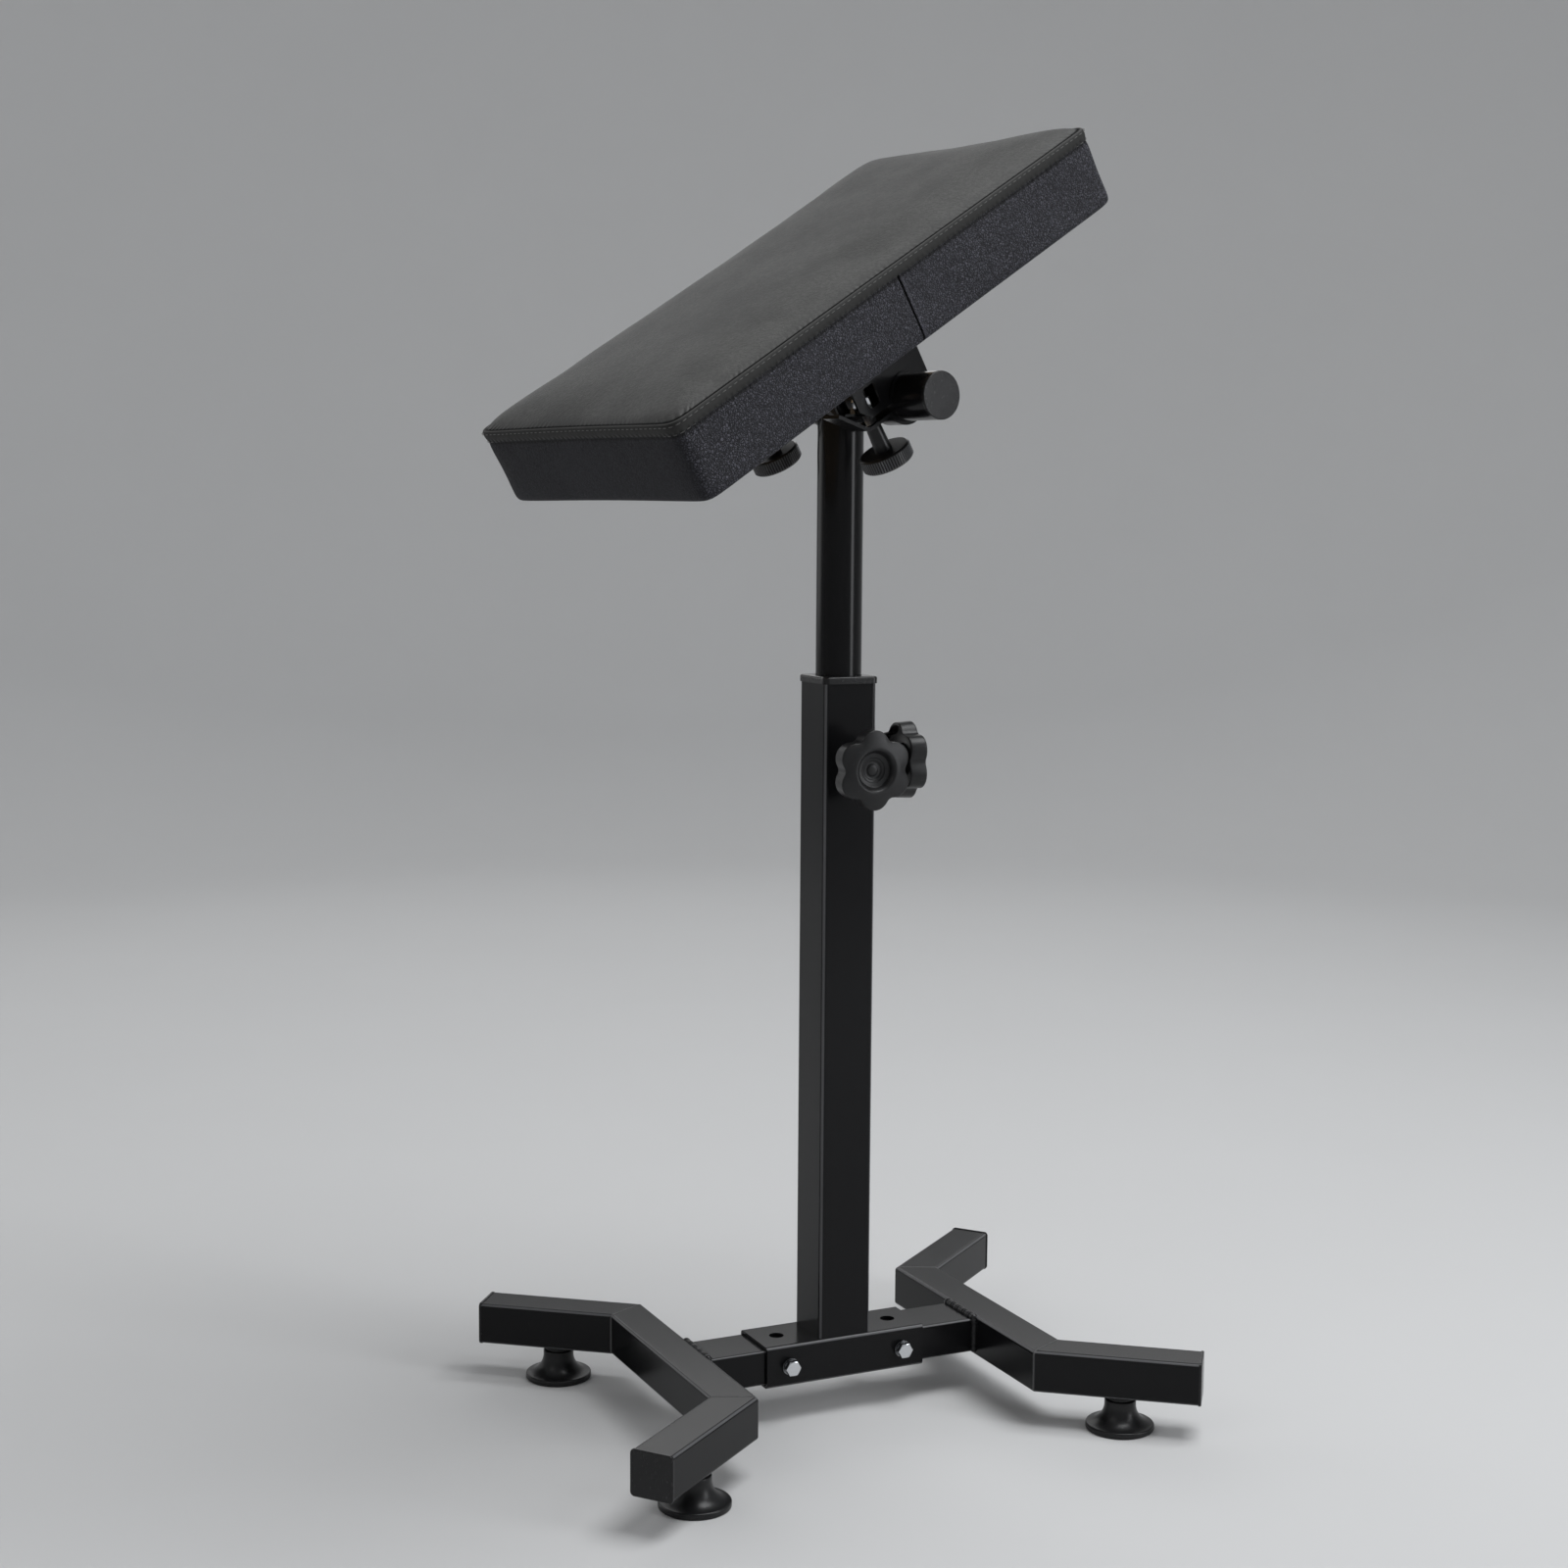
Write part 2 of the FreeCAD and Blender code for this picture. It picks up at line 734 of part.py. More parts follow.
def make_t_bar_weld():
    """A fillet bead that follows the saddle where the post meets the T bar."""
    around_bar = bar_cylinder(bar_radius + bar_weld_size, 2 * post_diameter)
    around_post = cylinder(post_radius + bar_weld_size, -2 * bar_radius, 0)
    weld = around_bar.common(around_post)
    weld = weld.cut(bar_cylinder(bar_radius, 2 * post_diameter))
    weld = weld.cut(cylinder(post_radius, -post_length, 0))
    above = box(-post_diameter, post_diameter, -post_diameter, post_diameter, -bar_weld_size, bar_radius)
    weld = weld.cut(above)
    return on_place(Part.makeCompound(weld.Solids), mast_place)


def make_t_bar_plug(end):
    """The flat plug in one end of the T bar: end is -1 at the front."""
    flange = cylinder(bar_radius, 0, plug_flange)
    outer_edges = [edge for edge in flange.Edges if edge.BoundBox.ZMin > plug_flange / 2]
    flange = flange.makeFillet(plug_edge, outer_edges)
    insert_radius = bar_radius - bar_wall - plug_clearance
    insert = tube(insert_radius, insert_radius - bar_wall, -plug_depth, 0)
    plug = shifted(fused([flange, insert]), 0, 0, bar_length / 2)
    plug = turned(plug, Vector(1, 0, 0), -90 * end)
    return on_place(plug, mast_place)


# Pad

def pad_section(inset, height):
    """The pad's outline, drawn in by inset, with corners that open up towards the crown."""
    length = pad_length - 2 * inset
    width = pad_width - 2 * inset
    radius = min(pad_corner_radius + pad_corner_growth_share * inset, pad_corner_limit_share * width)
    return round_rectangle(length, width, radius, pad_underside + height)


def make_pad_cushion():
    """Foam and cover in one: drawn in sides, a stitched band and a crowned top."""
    band_low = pad_thickness - pad_band_height
    seam_low = band_low - pad_seam_height
    seam_top = pad_thickness - pad_seam_height
    side_sections = [
        (pad_under_edge, 0), (pad_under_edge / 4, pad_under_edge / 2), (0, 2 * pad_under_edge),
        (pad_side_draw, pad_thickness / 2), (pad_side_draw / 4, seam_low - pad_seam_height),
        (pad_seam_depth + pad_side_draw / 4, seam_low), (pad_side_draw / 4, band_low),
        (0, (band_low + seam_top) / 2), (pad_side_draw / 4, seam_top), (pad_seam_depth, pad_thickness),
    ]
    sides = Part.makeLoft([pad_section(inset, height) for inset, height in side_sections], True, True)
    # Shares of the crown's height that the top has reached, against shares of half the width
    inset_shares = (0.05, 0.13, 0.25, 0.42, 0.62, 0.80)
    rise_shares = (0.32, 0.53, 0.71, 0.87, 0.96, 1.00)
    crown_sections = [pad_section(pad_seam_depth, pad_thickness)]
    for inset_share, rise_share in zip(inset_shares, rise_shares):
        inset = pad_seam_depth + inset_share * pad_width / 2
        crown_sections.append(pad_section(inset, pad_thickness + rise_share * pad_crown))
    crown = Part.makeLoft(crown_sections, True, False)
    cushion = fused([sides, crown])
    pocket_length = pad_length - 2 * (board_margin - board_clearance)
    pocket_width = pad_width - 2 * (board_margin - board_clearance)
    pocket = round_block(pocket_length, pocket_width, board_corner_radius + board_clearance,
                         pad_underside - overrun, pad_underside + board_thickness + board_clearance)
    cushion = shifted(cushion.cut(pocket), pad_offset, 0, 0)
    for x, y in bracket_screw_points():
        cushion = cushion.cut(shifted(tee_nut_space(), x, y, 0))
    return on_place(cushion, pad_place)


def make_pad_board():
    board = round_block(pad_length - 2 * board_margin, pad_width - 2 * board_margin, board_corner_radius,
                        pad_underside, pad_underside + board_thickness)
    board = shifted(board, pad_offset, 0, 0)
    radius = tee_nut_barrel / 2 + tee_nut_wall_gap
    for x, y in bracket_screw_points():
        board = board.cut(shifted(cylinder(radius, 0, pad_underside + pad_thickness), x, y, 0))
    return on_place(board, pad_place)


# T bar clamps

def clamp_points():
    return {"front": -clamp_spacing / 2, "rear": clamp_spacing / 2}


def bracket_screw_points():
    return [(side * bracket_screw_x, y) for y in clamp_points().values() for side in (-1, 1)]


def tee_nut_space():
    low = pad_underside + board_thickness
    high = low + tee_nut_flange_thickness + 2 * board_clearance
    return cylinder(tee_nut_flange / 2 + board_clearance, low, high)


def make_tee_nuts():
    top = pad_underside + board_thickness
    nuts = []
    for x, y in bracket_screw_points():
        flange = cylinder(tee_nut_flange / 2, top, top + tee_nut_flange_thickness)
        barrel = cylinder(tee_nut_barrel / 2, pad_underside + bracket_sheet, top)
        bore = cylinder(bracket_screw_diameter / 2, 0, top + pad_thickness)
        nuts.append(shifted(fused([flange, barrel]).cut(bore), x, y, 0))
    return on_place(Part.makeCompound(nuts), pad_place)


def make_bracket_screws():
    """Pan head screws up through each bracket into the board's tee nuts."""
    screws = []
    for x, y in bracket_screw_points():
        low = bracket_top - bracket_screw_head_height
        head = cylinder(bracket_screw_head / 2, low, bracket_top)
        low_edges = [edge for edge in head.Edges if edge.BoundBox.ZMax < bracket_top]
        head = head.makeFillet(bracket_screw_head_height / 2, low_edges)
        shank = cylinder(bracket_screw_diameter / 2, low + bracket_screw_head_height / 2,
                         pad_underside + board_thickness)
        screws.append(shifted(fused([head, shank]), x, y, 0))
    return on_place(Part.makeCompound(screws), pad_place)


def flange_face():
    """The outline of one side flange, with its notch for the T bar, in the XZ plane."""
    notch = jaw_radius
    low_z = bracket_low_depth
    high_z = bracket_high_depth
    low_x = -math.sqrt(notch ** 2 - low_z ** 2)
    high_x = math.sqrt(notch ** 2 - high_z ** 2)
    start = Vector(low_x, 0, low_z)
    corner = bracket_low_corner
    points = [
        Vector(high_x, 0, high_z), Vector(bracket_high_end - bracket_sheet, 0, high_z),
        Vector(bracket_high_end, 0, high_z + 2 * bracket_sheet), Vector(bracket_high_end, 0, pad_underside),
        Vector(-bracket_low_end, 0, pad_underside), Vector(-bracket_low_end, 0, low_z + corner),
        Vector(-bracket_low_end + corner, 0, low_z), start,
    ]
    edges = [Part.makeLine(points[i], points[i + 1]) for i in range(len(points) - 1)]
    edges.append(Part.Arc(start, Vector(0, 0, notch), points[0]).toShape())
    return Part.Face(Part.Wire(edges))


def make_bracket(y_middle):
    """Pressed steel saddle: a plate under the board, two notched flanges, a nut seat and a hooked end."""
    half = bracket_width / 2
    flanges = []
    for side in (-1, 1):
        inner = side * (half - bracket_sheet)
        flange = shifted(flange_face().extrude(Vector(0, side * bracket_sheet, 0)), 0, inner, 0)
        window = round_block(window_width, window_top - nut_seat_height, window_corner,
                             -overrun, bracket_width)
        window = turned(window, Vector(1, 0, 0), 90)
        window = shifted(window, grip_screw_x, 0, (window_top + nut_seat_height) / 2)
        if side > 0:
            window = mirrored(window, Vector(0, 1, 0))
        flanges.append(flange.cut(window))
        lip = hole_along_y(jaw_radius + bracket_lip_width, 0, 0, 0, half + bracket_lip_rise)
        lip = lip.cut(hole_along_y(jaw_radius, 0, 0, -overrun, bracket_width))
        lip = lip.common(box(-bar_radius * 2, bar_radius * 2, half - bracket_sheet / 2, bracket_width,
                             bracket_high_depth, pad_underside))
        if side < 0:
            lip = mirrored(lip, Vector(0, 1, 0))
        flanges.append(lip)
    plate = box(-bracket_low_end, bracket_high_end, -half, half, bracket_top, pad_underside)
    end_half = half - bracket_sheet / 2
    seat = box(-bracket_low_end + bracket_low_corner / 2, -jaw_radius - bracket_sheet, -end_half, end_half,
               nut_seat_height - bracket_sheet, nut_seat_height)
    end_wall = box(bracket_high_end - bracket_sheet, bracket_high_end, -end_half, end_half,
                   pad_underside - hook_wall_drop, pad_underside)
    slot_top = pad_underside - hook_slot_drop
    slot = box(0, bracket_high_end + overrun, -hook_slot_width / 2, hook_slot_width / 2,
               slot_top - hook_slot_height, slot_top)
    bracket = fused(flanges + [plate, seat, end_wall.cut(slot)])
    screw_hole = cylinder(grip_screw_hole / 2, 0, nut_seat_height + overrun)
    bracket = bracket.cut(shifted(screw_hole, grip_screw_x, 0, 0))
    hole_radius = bracket_screw_diameter / 2 + board_clearance
    for side in (-1, 1):
        plate_hole = cylinder(hole_radius, bracket_top - overrun, pad_underside + overrun)
        bracket = bracket.cut(shifted(plate_hole, side * bracket_screw_x, 0, 0))
    return on_place(shifted(bracket, 0, y_middle, 0), pad_place)


def offset_strip(points, thickness):
    """A strip of sheet that runs below a line of (x, z) points, as a face in the XZ plane."""
    lower = []
    for index, (x, z) in enumerate(points):
        before = points[max(index - 1, 0)]
        after = points[min(index + 1, len(points) - 1)]
        run_in = (x - before[0], z - before[1])
        run_out = (after[0] - x, after[1] - z)
        angle_in = math.atan2(run_in[1], run_in[0]) if index > 0 else math.atan2(run_out[1], run_out[0])
        last = index == len(points) - 1
        angle_out = angle_in if last else math.atan2(run_out[1], run_out[0])
        turn = (angle_out - angle_in + math.pi) % (2 * math.pi) - math.pi
        middle = angle_in + turn / 2
        reach = thickness / math.cos(turn / 2)
        lower.append((x + reach * math.sin(middle), z - reach * math.cos(middle)))
    return Part.Face(profile_wire(points + lower[::-1]))


def bent_round(strap, x, z):
    """Rounds the bend of a strap whose upper surface turns at x and z."""
    for low, radius in ((z - jaw_sheet, jaw_bend_radius + jaw_sheet), (z, jaw_bend_radius)):
        bend = [edge for edge in strap.Edges
                if abs(edge.BoundBox.XMin - x) < jaw_sheet and abs(edge.BoundBox.ZMin - low) < jaw_sheet / 2
                and edge.BoundBox.YLength > jaw_width / 2]
        strap = strap.makeFillet(radius, bend)
    return strap


def make_jaw(y_middle):
    """The lower strap: a screw flange with an upturned lip, a round under the T bar and a hooked tongue."""
    half = jaw_width / 2
    flange_z = jaw_flange_height
    ring = hole_along_y(jaw_outer_radius, 0, 0, -half, half)
    ring = ring.cut(hole_along_y(jaw_radius, 0, 0, -half - overrun, half + overrun))
    below = box(-bracket_low_end, jaw_outer_radius + overrun, -half - overrun, half + overrun,
                -jaw_outer_radius - overrun, flange_z)
    ring = ring.common(below)
    meet = -math.sqrt(jaw_radius ** 2 - flange_z ** 2)
    lip_end = (jaw_flange_end - jaw_lip_reach, flange_z + jaw_lip_rise)
    flange = offset_strip([lip_end, (jaw_flange_end, flange_z), (meet, flange_z)], jaw_sheet)
    flange = bent_round(flange.extrude(Vector(0, jaw_width, 0)), jaw_flange_end, flange_z)
    flange = shifted(flange, 0, -half, 0)
    slot_radius = jaw_slot_width / 2
    slot_low = grip_screw_x - jaw_slot_slack
    slot_end = cylinder(slot_radius, flange_z - 2 * jaw_sheet, flange_z + overrun)
    for x in (slot_low, grip_screw_x):
        flange = flange.cut(shifted(slot_end, x, 0, 0))
    flange = flange.cut(box(slot_low, grip_screw_x, -slot_radius, slot_radius,
                            flange_z - 2 * jaw_sheet, flange_z + overrun))
    back_x = jaw_back
    tongue_top = pad_underside - hook_slot_drop - jaw_hook_gap
    right = math.sqrt(jaw_radius ** 2 - flange_z ** 2)
    bend = (back_x, flange_z + back_x - right)
    rise = offset_strip([(right, flange_z), bend, (back_x, tongue_top)], jaw_sheet)
    rise = shifted(rise.extrude(Vector(0, jaw_width, 0)), 0, -half, 0)
    tongue = box(back_x - jaw_tongue_length, back_x + jaw_sheet, -jaw_tongue_width / 2, jaw_tongue_width / 2,
                 tongue_top - jaw_sheet, tongue_top)
    jaw = fused([ring, flange, rise, tongue])
    return on_place(shifted(jaw, 0, y_middle, 0), pad_place)


def make_grip_nut(y_middle):
    nut = hex_nut(hex_flats, hex_nut_height, grip_screw_diameter / 2 + thread_clearance)
    nut = shifted(turned(nut, up, 30), grip_screw_x, y_middle, nut_seat_height)
    return on_place(nut, pad_place)


def grip_stem_top():
    return jaw_flange_height - jaw_sheet - grip_seat_gap


def grip_head_low():
    return grip_stem_top() - grip_stem_length - grip_knob_height


def make_grip_stud(y_middle):
    low = grip_head_low() + grip_bore_cover
    stud = cylinder(grip_screw_diameter / 2, low, grip_screw_tip)
    return on_place(shifted(stud, grip_screw_x, y_middle, 0), pad_place)


def ribbed_wire(z):
    """A toothed round outline: shallow straight ribs round the knob's rim."""
    high = grip_knob_diameter / 2
    low = high - grip_knob_rib_depth
    step = 360 / grip_knob_ribs
    points = []
    for rib in range(grip_knob_ribs):
        for turn_share, radius in ((0, low), (0.25, high), (0.5, high), (0.75, low)):
            angle = math.radians(step * (rib + turn_share))
            points.append(Vector(radius * math.cos(angle), radius * math.sin(angle), z))
    return Part.makePolygon(points + points[:1])


def make_grip_knob(y_middle):
    """Ribbed disc head with bevelled edges on a tapered stem."""
    low = grip_head_low()
    high = low + grip_knob_height
    head = Part.Face(ribbed_wire(low)).extrude(Vector(0, 0, grip_knob_height))
    radius = grip_knob_diameter / 2
    edge = grip_knob_edge
    bevel = revolved([(0, low), (radius - edge, low), (radius, low + edge), (radius, high - edge),
                      (radius - edge, high), (0, high)])
    head = head.common(bevel)
    stem = Part.makeCone(grip_stem_root_diameter / 2, grip_stem_diameter / 2, grip_stem_length,
                         Vector(0, 0, high))
    bore_radius = grip_screw_diameter / 2 + thread_clearance
    bore = cylinder(bore_radius, low + grip_bore_cover, grip_stem_top() + overrun)
    knob = fused([head, stem]).cut(bore)
    return on_place(shifted(knob, grip_screw_x, y_middle, 0), pad_place)


def build():
    nodes = {
        "base_sleeve": make_base_sleeve(),
        "column_tube": make_column_tube(),
        "column_collar": make_column_collar(),
        "column_nuts": make_column_nuts(),
        "leg_end_caps": make_end_caps(),
        "stub_welds": make_stub_welds(),
        "frame_bolts": make_frame_bolts(),
        "frame_washers": make_frame_washers(),
        "frame_spring_washers": make_spring_washers(),
        "frame_nuts": make_frame_nuts(),
        "foot_nuts": make_foot_nuts(),
        "front_clamp_stud": out_of_front(make_clamp_stud()),
        "front_clamp_knob": out_of_front(make_clamp_knob()),
        "side_clamp_stud": out_of_side(make_clamp_stud()),
        "side_clamp_knob": out_of_side(make_clamp_knob()),
        "guide_bush": make_guide_bush(),
        "post_tube": make_post_tube(),
        "post_plug": make_post_plug(),
        "post_washer": make_post_washer(),
        "post_screw": make_post_screw(),
        "t_bar_tube": make_t_bar(),
        "t_bar_weld": make_t_bar_weld(),
        "t_bar_plug_front": make_t_bar_plug(-1),
        "t_bar_plug_rear": make_t_bar_plug(1),
        "pad_cushion": make_pad_cushion(),
        "pad_board": make_pad_board(),
        "board_tee_nuts": make_tee_nuts(),
        "bracket_screws": make_bracket_screws(),
    }
    for side, side_name in ((-1, "left"), (1, "right")):
        nodes[side_name + "_stub_tube"] = make_stub(side)
        nodes[side_name + "_cross_tube"] = make_cross(side)
        for end, end_name in ((-1, "front"), (1, "rear")):
            name = end_name + "_" + side_name
            nodes[name + "_leg_tube"] = make_leg(side, end)
            nodes[name + "_foot_stud"] = make_foot_stud(side, end)
            nodes[name + "_foot_glide"] = make_foot_glide(side, end)
    for end_name, y_middle in clamp_points().items():
        nodes[end_name + "_bar_bracket"] = make_bracket(y_middle)
        nodes[end_name + "_bar_jaw"] = make_jaw(y_middle)
        nodes[end_name + "_grip_nut"] = make_grip_nut(y_middle)
        nodes[end_name + "_grip_stud"] = make_grip_stud(y_middle)
        nodes[end_name + "_grip_knob"] = make_grip_knob(y_middle)
    return nodes


def main():
    os.makedirs("parts", exist_ok=True)
    for name, shape in build().items():
        shape.exportStep(os.path.join("parts", name + ".step"))
        bounds = shape.BoundBox
        print(name, "solids", len(shape.Solids), "valid", shape.isValid(), "volume", round(shape.Volume),
              "z", round(bounds.ZMin, 1), round(bounds.ZMax, 1))


main()
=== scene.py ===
import json
import math

import bmesh
import bpy
from bpy.props import FloatProperty, FloatVectorProperty, PointerProperty
from mathutils import Matrix, Vector, noise


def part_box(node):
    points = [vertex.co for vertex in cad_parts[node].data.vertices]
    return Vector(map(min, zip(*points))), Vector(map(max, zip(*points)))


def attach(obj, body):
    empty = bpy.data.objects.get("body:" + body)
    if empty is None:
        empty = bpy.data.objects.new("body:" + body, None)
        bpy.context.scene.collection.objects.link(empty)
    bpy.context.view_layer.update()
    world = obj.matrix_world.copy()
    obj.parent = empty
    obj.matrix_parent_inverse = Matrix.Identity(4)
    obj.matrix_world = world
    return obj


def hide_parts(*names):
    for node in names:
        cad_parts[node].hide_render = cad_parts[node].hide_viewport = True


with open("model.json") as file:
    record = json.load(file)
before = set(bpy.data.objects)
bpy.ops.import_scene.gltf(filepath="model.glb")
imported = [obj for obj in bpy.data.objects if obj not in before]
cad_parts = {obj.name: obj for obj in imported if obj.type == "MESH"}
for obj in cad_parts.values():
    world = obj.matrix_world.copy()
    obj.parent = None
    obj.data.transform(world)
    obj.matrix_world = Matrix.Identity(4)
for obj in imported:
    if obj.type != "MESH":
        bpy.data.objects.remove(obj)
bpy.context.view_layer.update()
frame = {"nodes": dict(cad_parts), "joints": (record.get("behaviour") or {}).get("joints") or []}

bl_info = {
    "name": "Tattoo Arm Rest Stand",
    "version": (1, 0, 0),
    "blender": (4, 5, 0),
    "location": "View3D > Sidebar > Arm Rest",
    "description": "Upholstery, knobs, feet, welds, finishes and studio for the arm rest stand",
    "category": "Object",
}

mm = 0.001
nodes = frame["nodes"]
joints = {joint["name"]: joint for joint in frame["joints"]}
corner_names = ("front_left", "front_right", "rear_left", "rear_right")
up = Vector((0, 0, 1))


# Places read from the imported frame

def place_from_axes(x_axis, y_axis, z_axis, origin):
    columns = (x_axis, y_axis, z_axis)
    rows = [[column[row] for column in columns] + [origin[row]] for row in range(3)]
    return Matrix(rows + [[0, 0, 0, 1]])


def pad_place():
    """The pad's own frame: X up the slope, Y along the T bar to the rear, Z out of the top."""
    bar = -Vector(joints["pad_tilt"]["axis"]).normalized()
    normal = -Vector(joints["front_grip_travel"]["axis"]).normalized()
    slope = bar.cross(normal)
    return place_from_axes(slope, bar, normal, Vector(joints["pad_tilt"]["pos_m"]))


def clamp_place(name):
    """The frame of one lobed knob: Z runs out along its stud from the post's axis."""
    outward = Vector(joints[name + "_clamp_travel"]["axis"])
    side = up.cross(outward)
    return place_from_axes(side, up, outward, Vector(joints[name + "_clamp_turn"]["pos_m"]))


def local_bounds(node, place):
    """Lowest and highest corner of a CAD node in the given frame."""
    back = place.inverted()
    points = [back @ vertex.co for vertex in nodes[node].data.vertices]
    low = Vector([min(point[axis] for point in points) for axis in range(3)])
    high = Vector([max(point[axis] for point in points) for axis in range(3)])
    return low, high


# User settings

def length_setting(name, description, default):
    return FloatProperty(name=name, description=description, default=default, unit="LENGTH")


def share_setting(name, description, default):
    return FloatProperty(name=name, description=description, default=default, min=0, max=1)


def angle_setting(name, description, degrees):
    return FloatProperty(name=name, description=description, default=math.radians(degrees), subtype="ANGLE")


def power_setting(name, description, default):
    return FloatProperty(name=name, description=description, default=default, unit="POWER")


def colour_setting(name, description, default):
    return FloatVectorProperty(name=name, description=description, default=default, subtype="COLOR")


class CushionSettings(bpy.types.PropertyGroup):
    band_height: length_setting("Welt band height", "Height of the band between the two seams", 7.6 * mm)
    corner_radius: length_setting("Corner radius", "Radius of the pad's corners seen from above", 9 * mm)
    crown: length_setting("Crown", "How far the top rises above the welt band", 13 * mm)
    pressure: FloatProperty(
        name="Foam pressure", description="Pressure that swells the cover in the cloth simulation",
        default=1.8)
    travel: length_setting("Puff limit", "Furthest that the simulation may move the cover", 1.2 * mm)
    slack: share_setting("Slack", "Share of the crown that the cover has before it swells", 0.93)
    unevenness: length_setting("Unevenness", "Depth of the soft dents in the foam", 0.4 * mm)
    side_pull: length_setting("Side pull", "How far each side is drawn in between its corners", 1.2 * mm)
    thread: length_setting("Thread", "Thickness of the sewing thread", 0.6 * mm)
    staple_width: length_setting("Staple width", "Width of the staples under the board", 11 * mm)
    staple_wire: length_setting("Staple wire", "Thickness of the staples' wire", 0.7 * mm)
    staple_pitch: length_setting("Staple pitch", "Distance from one staple to the next", 27 * mm)
    stitch_pitch: length_setting("Stitch pitch", "Distance from one stitch to the next", 5 * mm)
    joint_share: share_setting("Boxing joint", "Where the boxing strip is joined on the front side", 0.505)


class HardwareSettings(bpy.types.PropertyGroup):
    knob_radius: length_setting("Knob radius", "Radius of the lobed knobs over their lobes", 27.5 * mm)
    knob_lobe: length_setting("Lobe radius", "Radius of each lobe's round", 10.5 * mm)
    knob_hollow: length_setting("Hollow radius", "Radius of the hollows between the lobes", 5 * mm)
    knob_turn: angle_setting("Knob turn", "Where the first lobe points", 30)
    bead_radius: length_setting("Weld bead", "Radius of the weld beads", 2.9 * mm)
    bead_ripple: length_setting("Weld ripple", "Height of the ripples on the beads", 0.5 * mm)
    bead_pitch: length_setting("Weld pitch", "Distance between the ripples", 2.4 * mm)
    thread: length_setting("Thread pitch", "Pitch of the 8 mm screw threads", 1.25 * mm)


class FinishSettings(bpy.types.PropertyGroup):
    enamel: colour_setting("Enamel", "Colour of the painted steel", (0.0055, 0.0055, 0.006))
    plastic: colour_setting("Plastic", "Colour of the knobs, glides and caps", (0.009, 0.009, 0.0095))
    zinc: colour_setting("Zinc", "Colour of the plated screws, nuts and washers", (0.72, 0.735, 0.76))
    leather_top: colour_setting("Top leatherette", "Colour of the pad's smooth top", (0.060, 0.059, 0.056))
    leather_side: colour_setting(
        "Side leatherette", "Colour of the pad's pebbled boxing", (0.019, 0.0188, 0.0235))
    plywood: colour_setting("Plywood", "Colour of the pad's board", (0.50, 0.35, 0.20))


class StudioSettings(bpy.types.PropertyGroup):
    lens: FloatProperty(
        name="Lens", description="Focal length on a 36 mm sensor", default=55.29, subtype="DISTANCE_CAMERA")
    camera_place: FloatVectorProperty(
        name="Camera place", description="Where the camera stands", subtype="TRANSLATION", unit="LENGTH",
        default=(-0.7515, -1.5008, 0.6412))
    camera_heading: angle_setting("Camera heading", "Turn of the view from straight ahead", -25.32)
    camera_pitch: angle_setting("Camera pitch", "Tilt of the view from level", -6.55)
    camera_roll: angle_setting("Camera roll", "Roll of the view", -0.39)
    floor_colour: colour_setting("Floor", "Colour of the floor and backdrop", (0.60, 0.60, 0.60))
    key_power: power_setting("Key light", "Power of the large lamp on the left", 3.5)
    strip_power: power_setting("Strip light", "Power of the tall lamp on the right", 15)
    back_power: power_setting("Back light", "Power of the wide lamp behind, for the shine on top", 8.5)
    side_power: power_setting("Side light", "Power of the large lamp behind on the left", 6)
    top_power: power_setting("Top light", "Power of the large lamp overhead", 66)
    world_strength: FloatProperty(
        name="Sky strength", description="Strength of the even light from above", default=0.25, min=0)


# Modelling helpers

def clear_selection():
    if bpy.context.object is not None and bpy.context.object.mode != "OBJECT":
        bpy.ops.object.mode_set(mode="OBJECT")
    bpy.ops.object.select_all(action="DESELECT")


def select_only(piece):
    clear_selection()
    piece.select_set(True)
    bpy.context.view_layer.objects.active = piece


def active_piece(name):
    piece = bpy.context.object
    piece.name = name
    piece.data.name = name
    return piece


def edit_whole(piece):
    """Edit mode on one piece with all of it selected."""
    select_only(piece)
    bpy.ops.object.mode_set(mode="EDIT")
    bpy.ops.mesh.select_all(action="SELECT")


def leave_edit():
    bpy.ops.object.mode_set(mode="OBJECT")


def smooth_rounds(piece, degrees):
    """Smooth shading over edges that turn by less than this."""
    select_only(piece)
    bpy.ops.object.shade_smooth_by_angle(angle=math.radians(degrees))


def modified(piece, kind, name, **settings):
    """Adds a modifier with its settings and applies it."""
    modifier = piece.modifiers.new(name, kind)
    for setting, value in settings.items():
        setattr(modifier, setting, value)
    select_only(piece)
    bpy.ops.object.modifier_apply(modifier=name)


def outward_normals(piece):
    edit_whole(piece)
    bpy.ops.mesh.remove_doubles(threshold=0.01 * mm)
    bpy.ops.mesh.normals_make_consistent(inside=False)
    leave_edit()


def turned_piece(name, outline, segments):
    """A piece turned on the Z axis: the outline is (radius, height) points from bottom to top."""
    clear_selection()
    radius, height = outline[0]
    bpy.ops.mesh.primitive_circle_add(
        vertices=segments, radius=radius, fill_type="NGON", location=(0, 0, height))
    piece = active_piece(name)
    edit_whole(piece)
    for next_radius, next_height in outline[1:]:
        bpy.ops.mesh.extrude_region_move(
            TRANSFORM_OT_translate={"value": (0, 0, next_height - height)})
        if next_radius != radius:
            scale = next_radius / radius
            bpy.ops.transform.resize(value=(scale, scale, 1))
        radius, height = next_radius, next_height
    leave_edit()
    bpy.ops.object.transform_apply(location=True, rotation=False, scale=False)
    outward_normals(piece)
    return piece


def arc_outline(centre, radius, start, end, steps):
    """Points on an arc, for a turned outline. Angles are in degrees from the outward direction."""
    points = []
    for step in range(steps + 1):
        angle = math.radians(start + (end - start) * step / steps)
        points.append((centre[0] + radius * math.cos(angle), centre[1] + radius * math.sin(angle)))
    return points


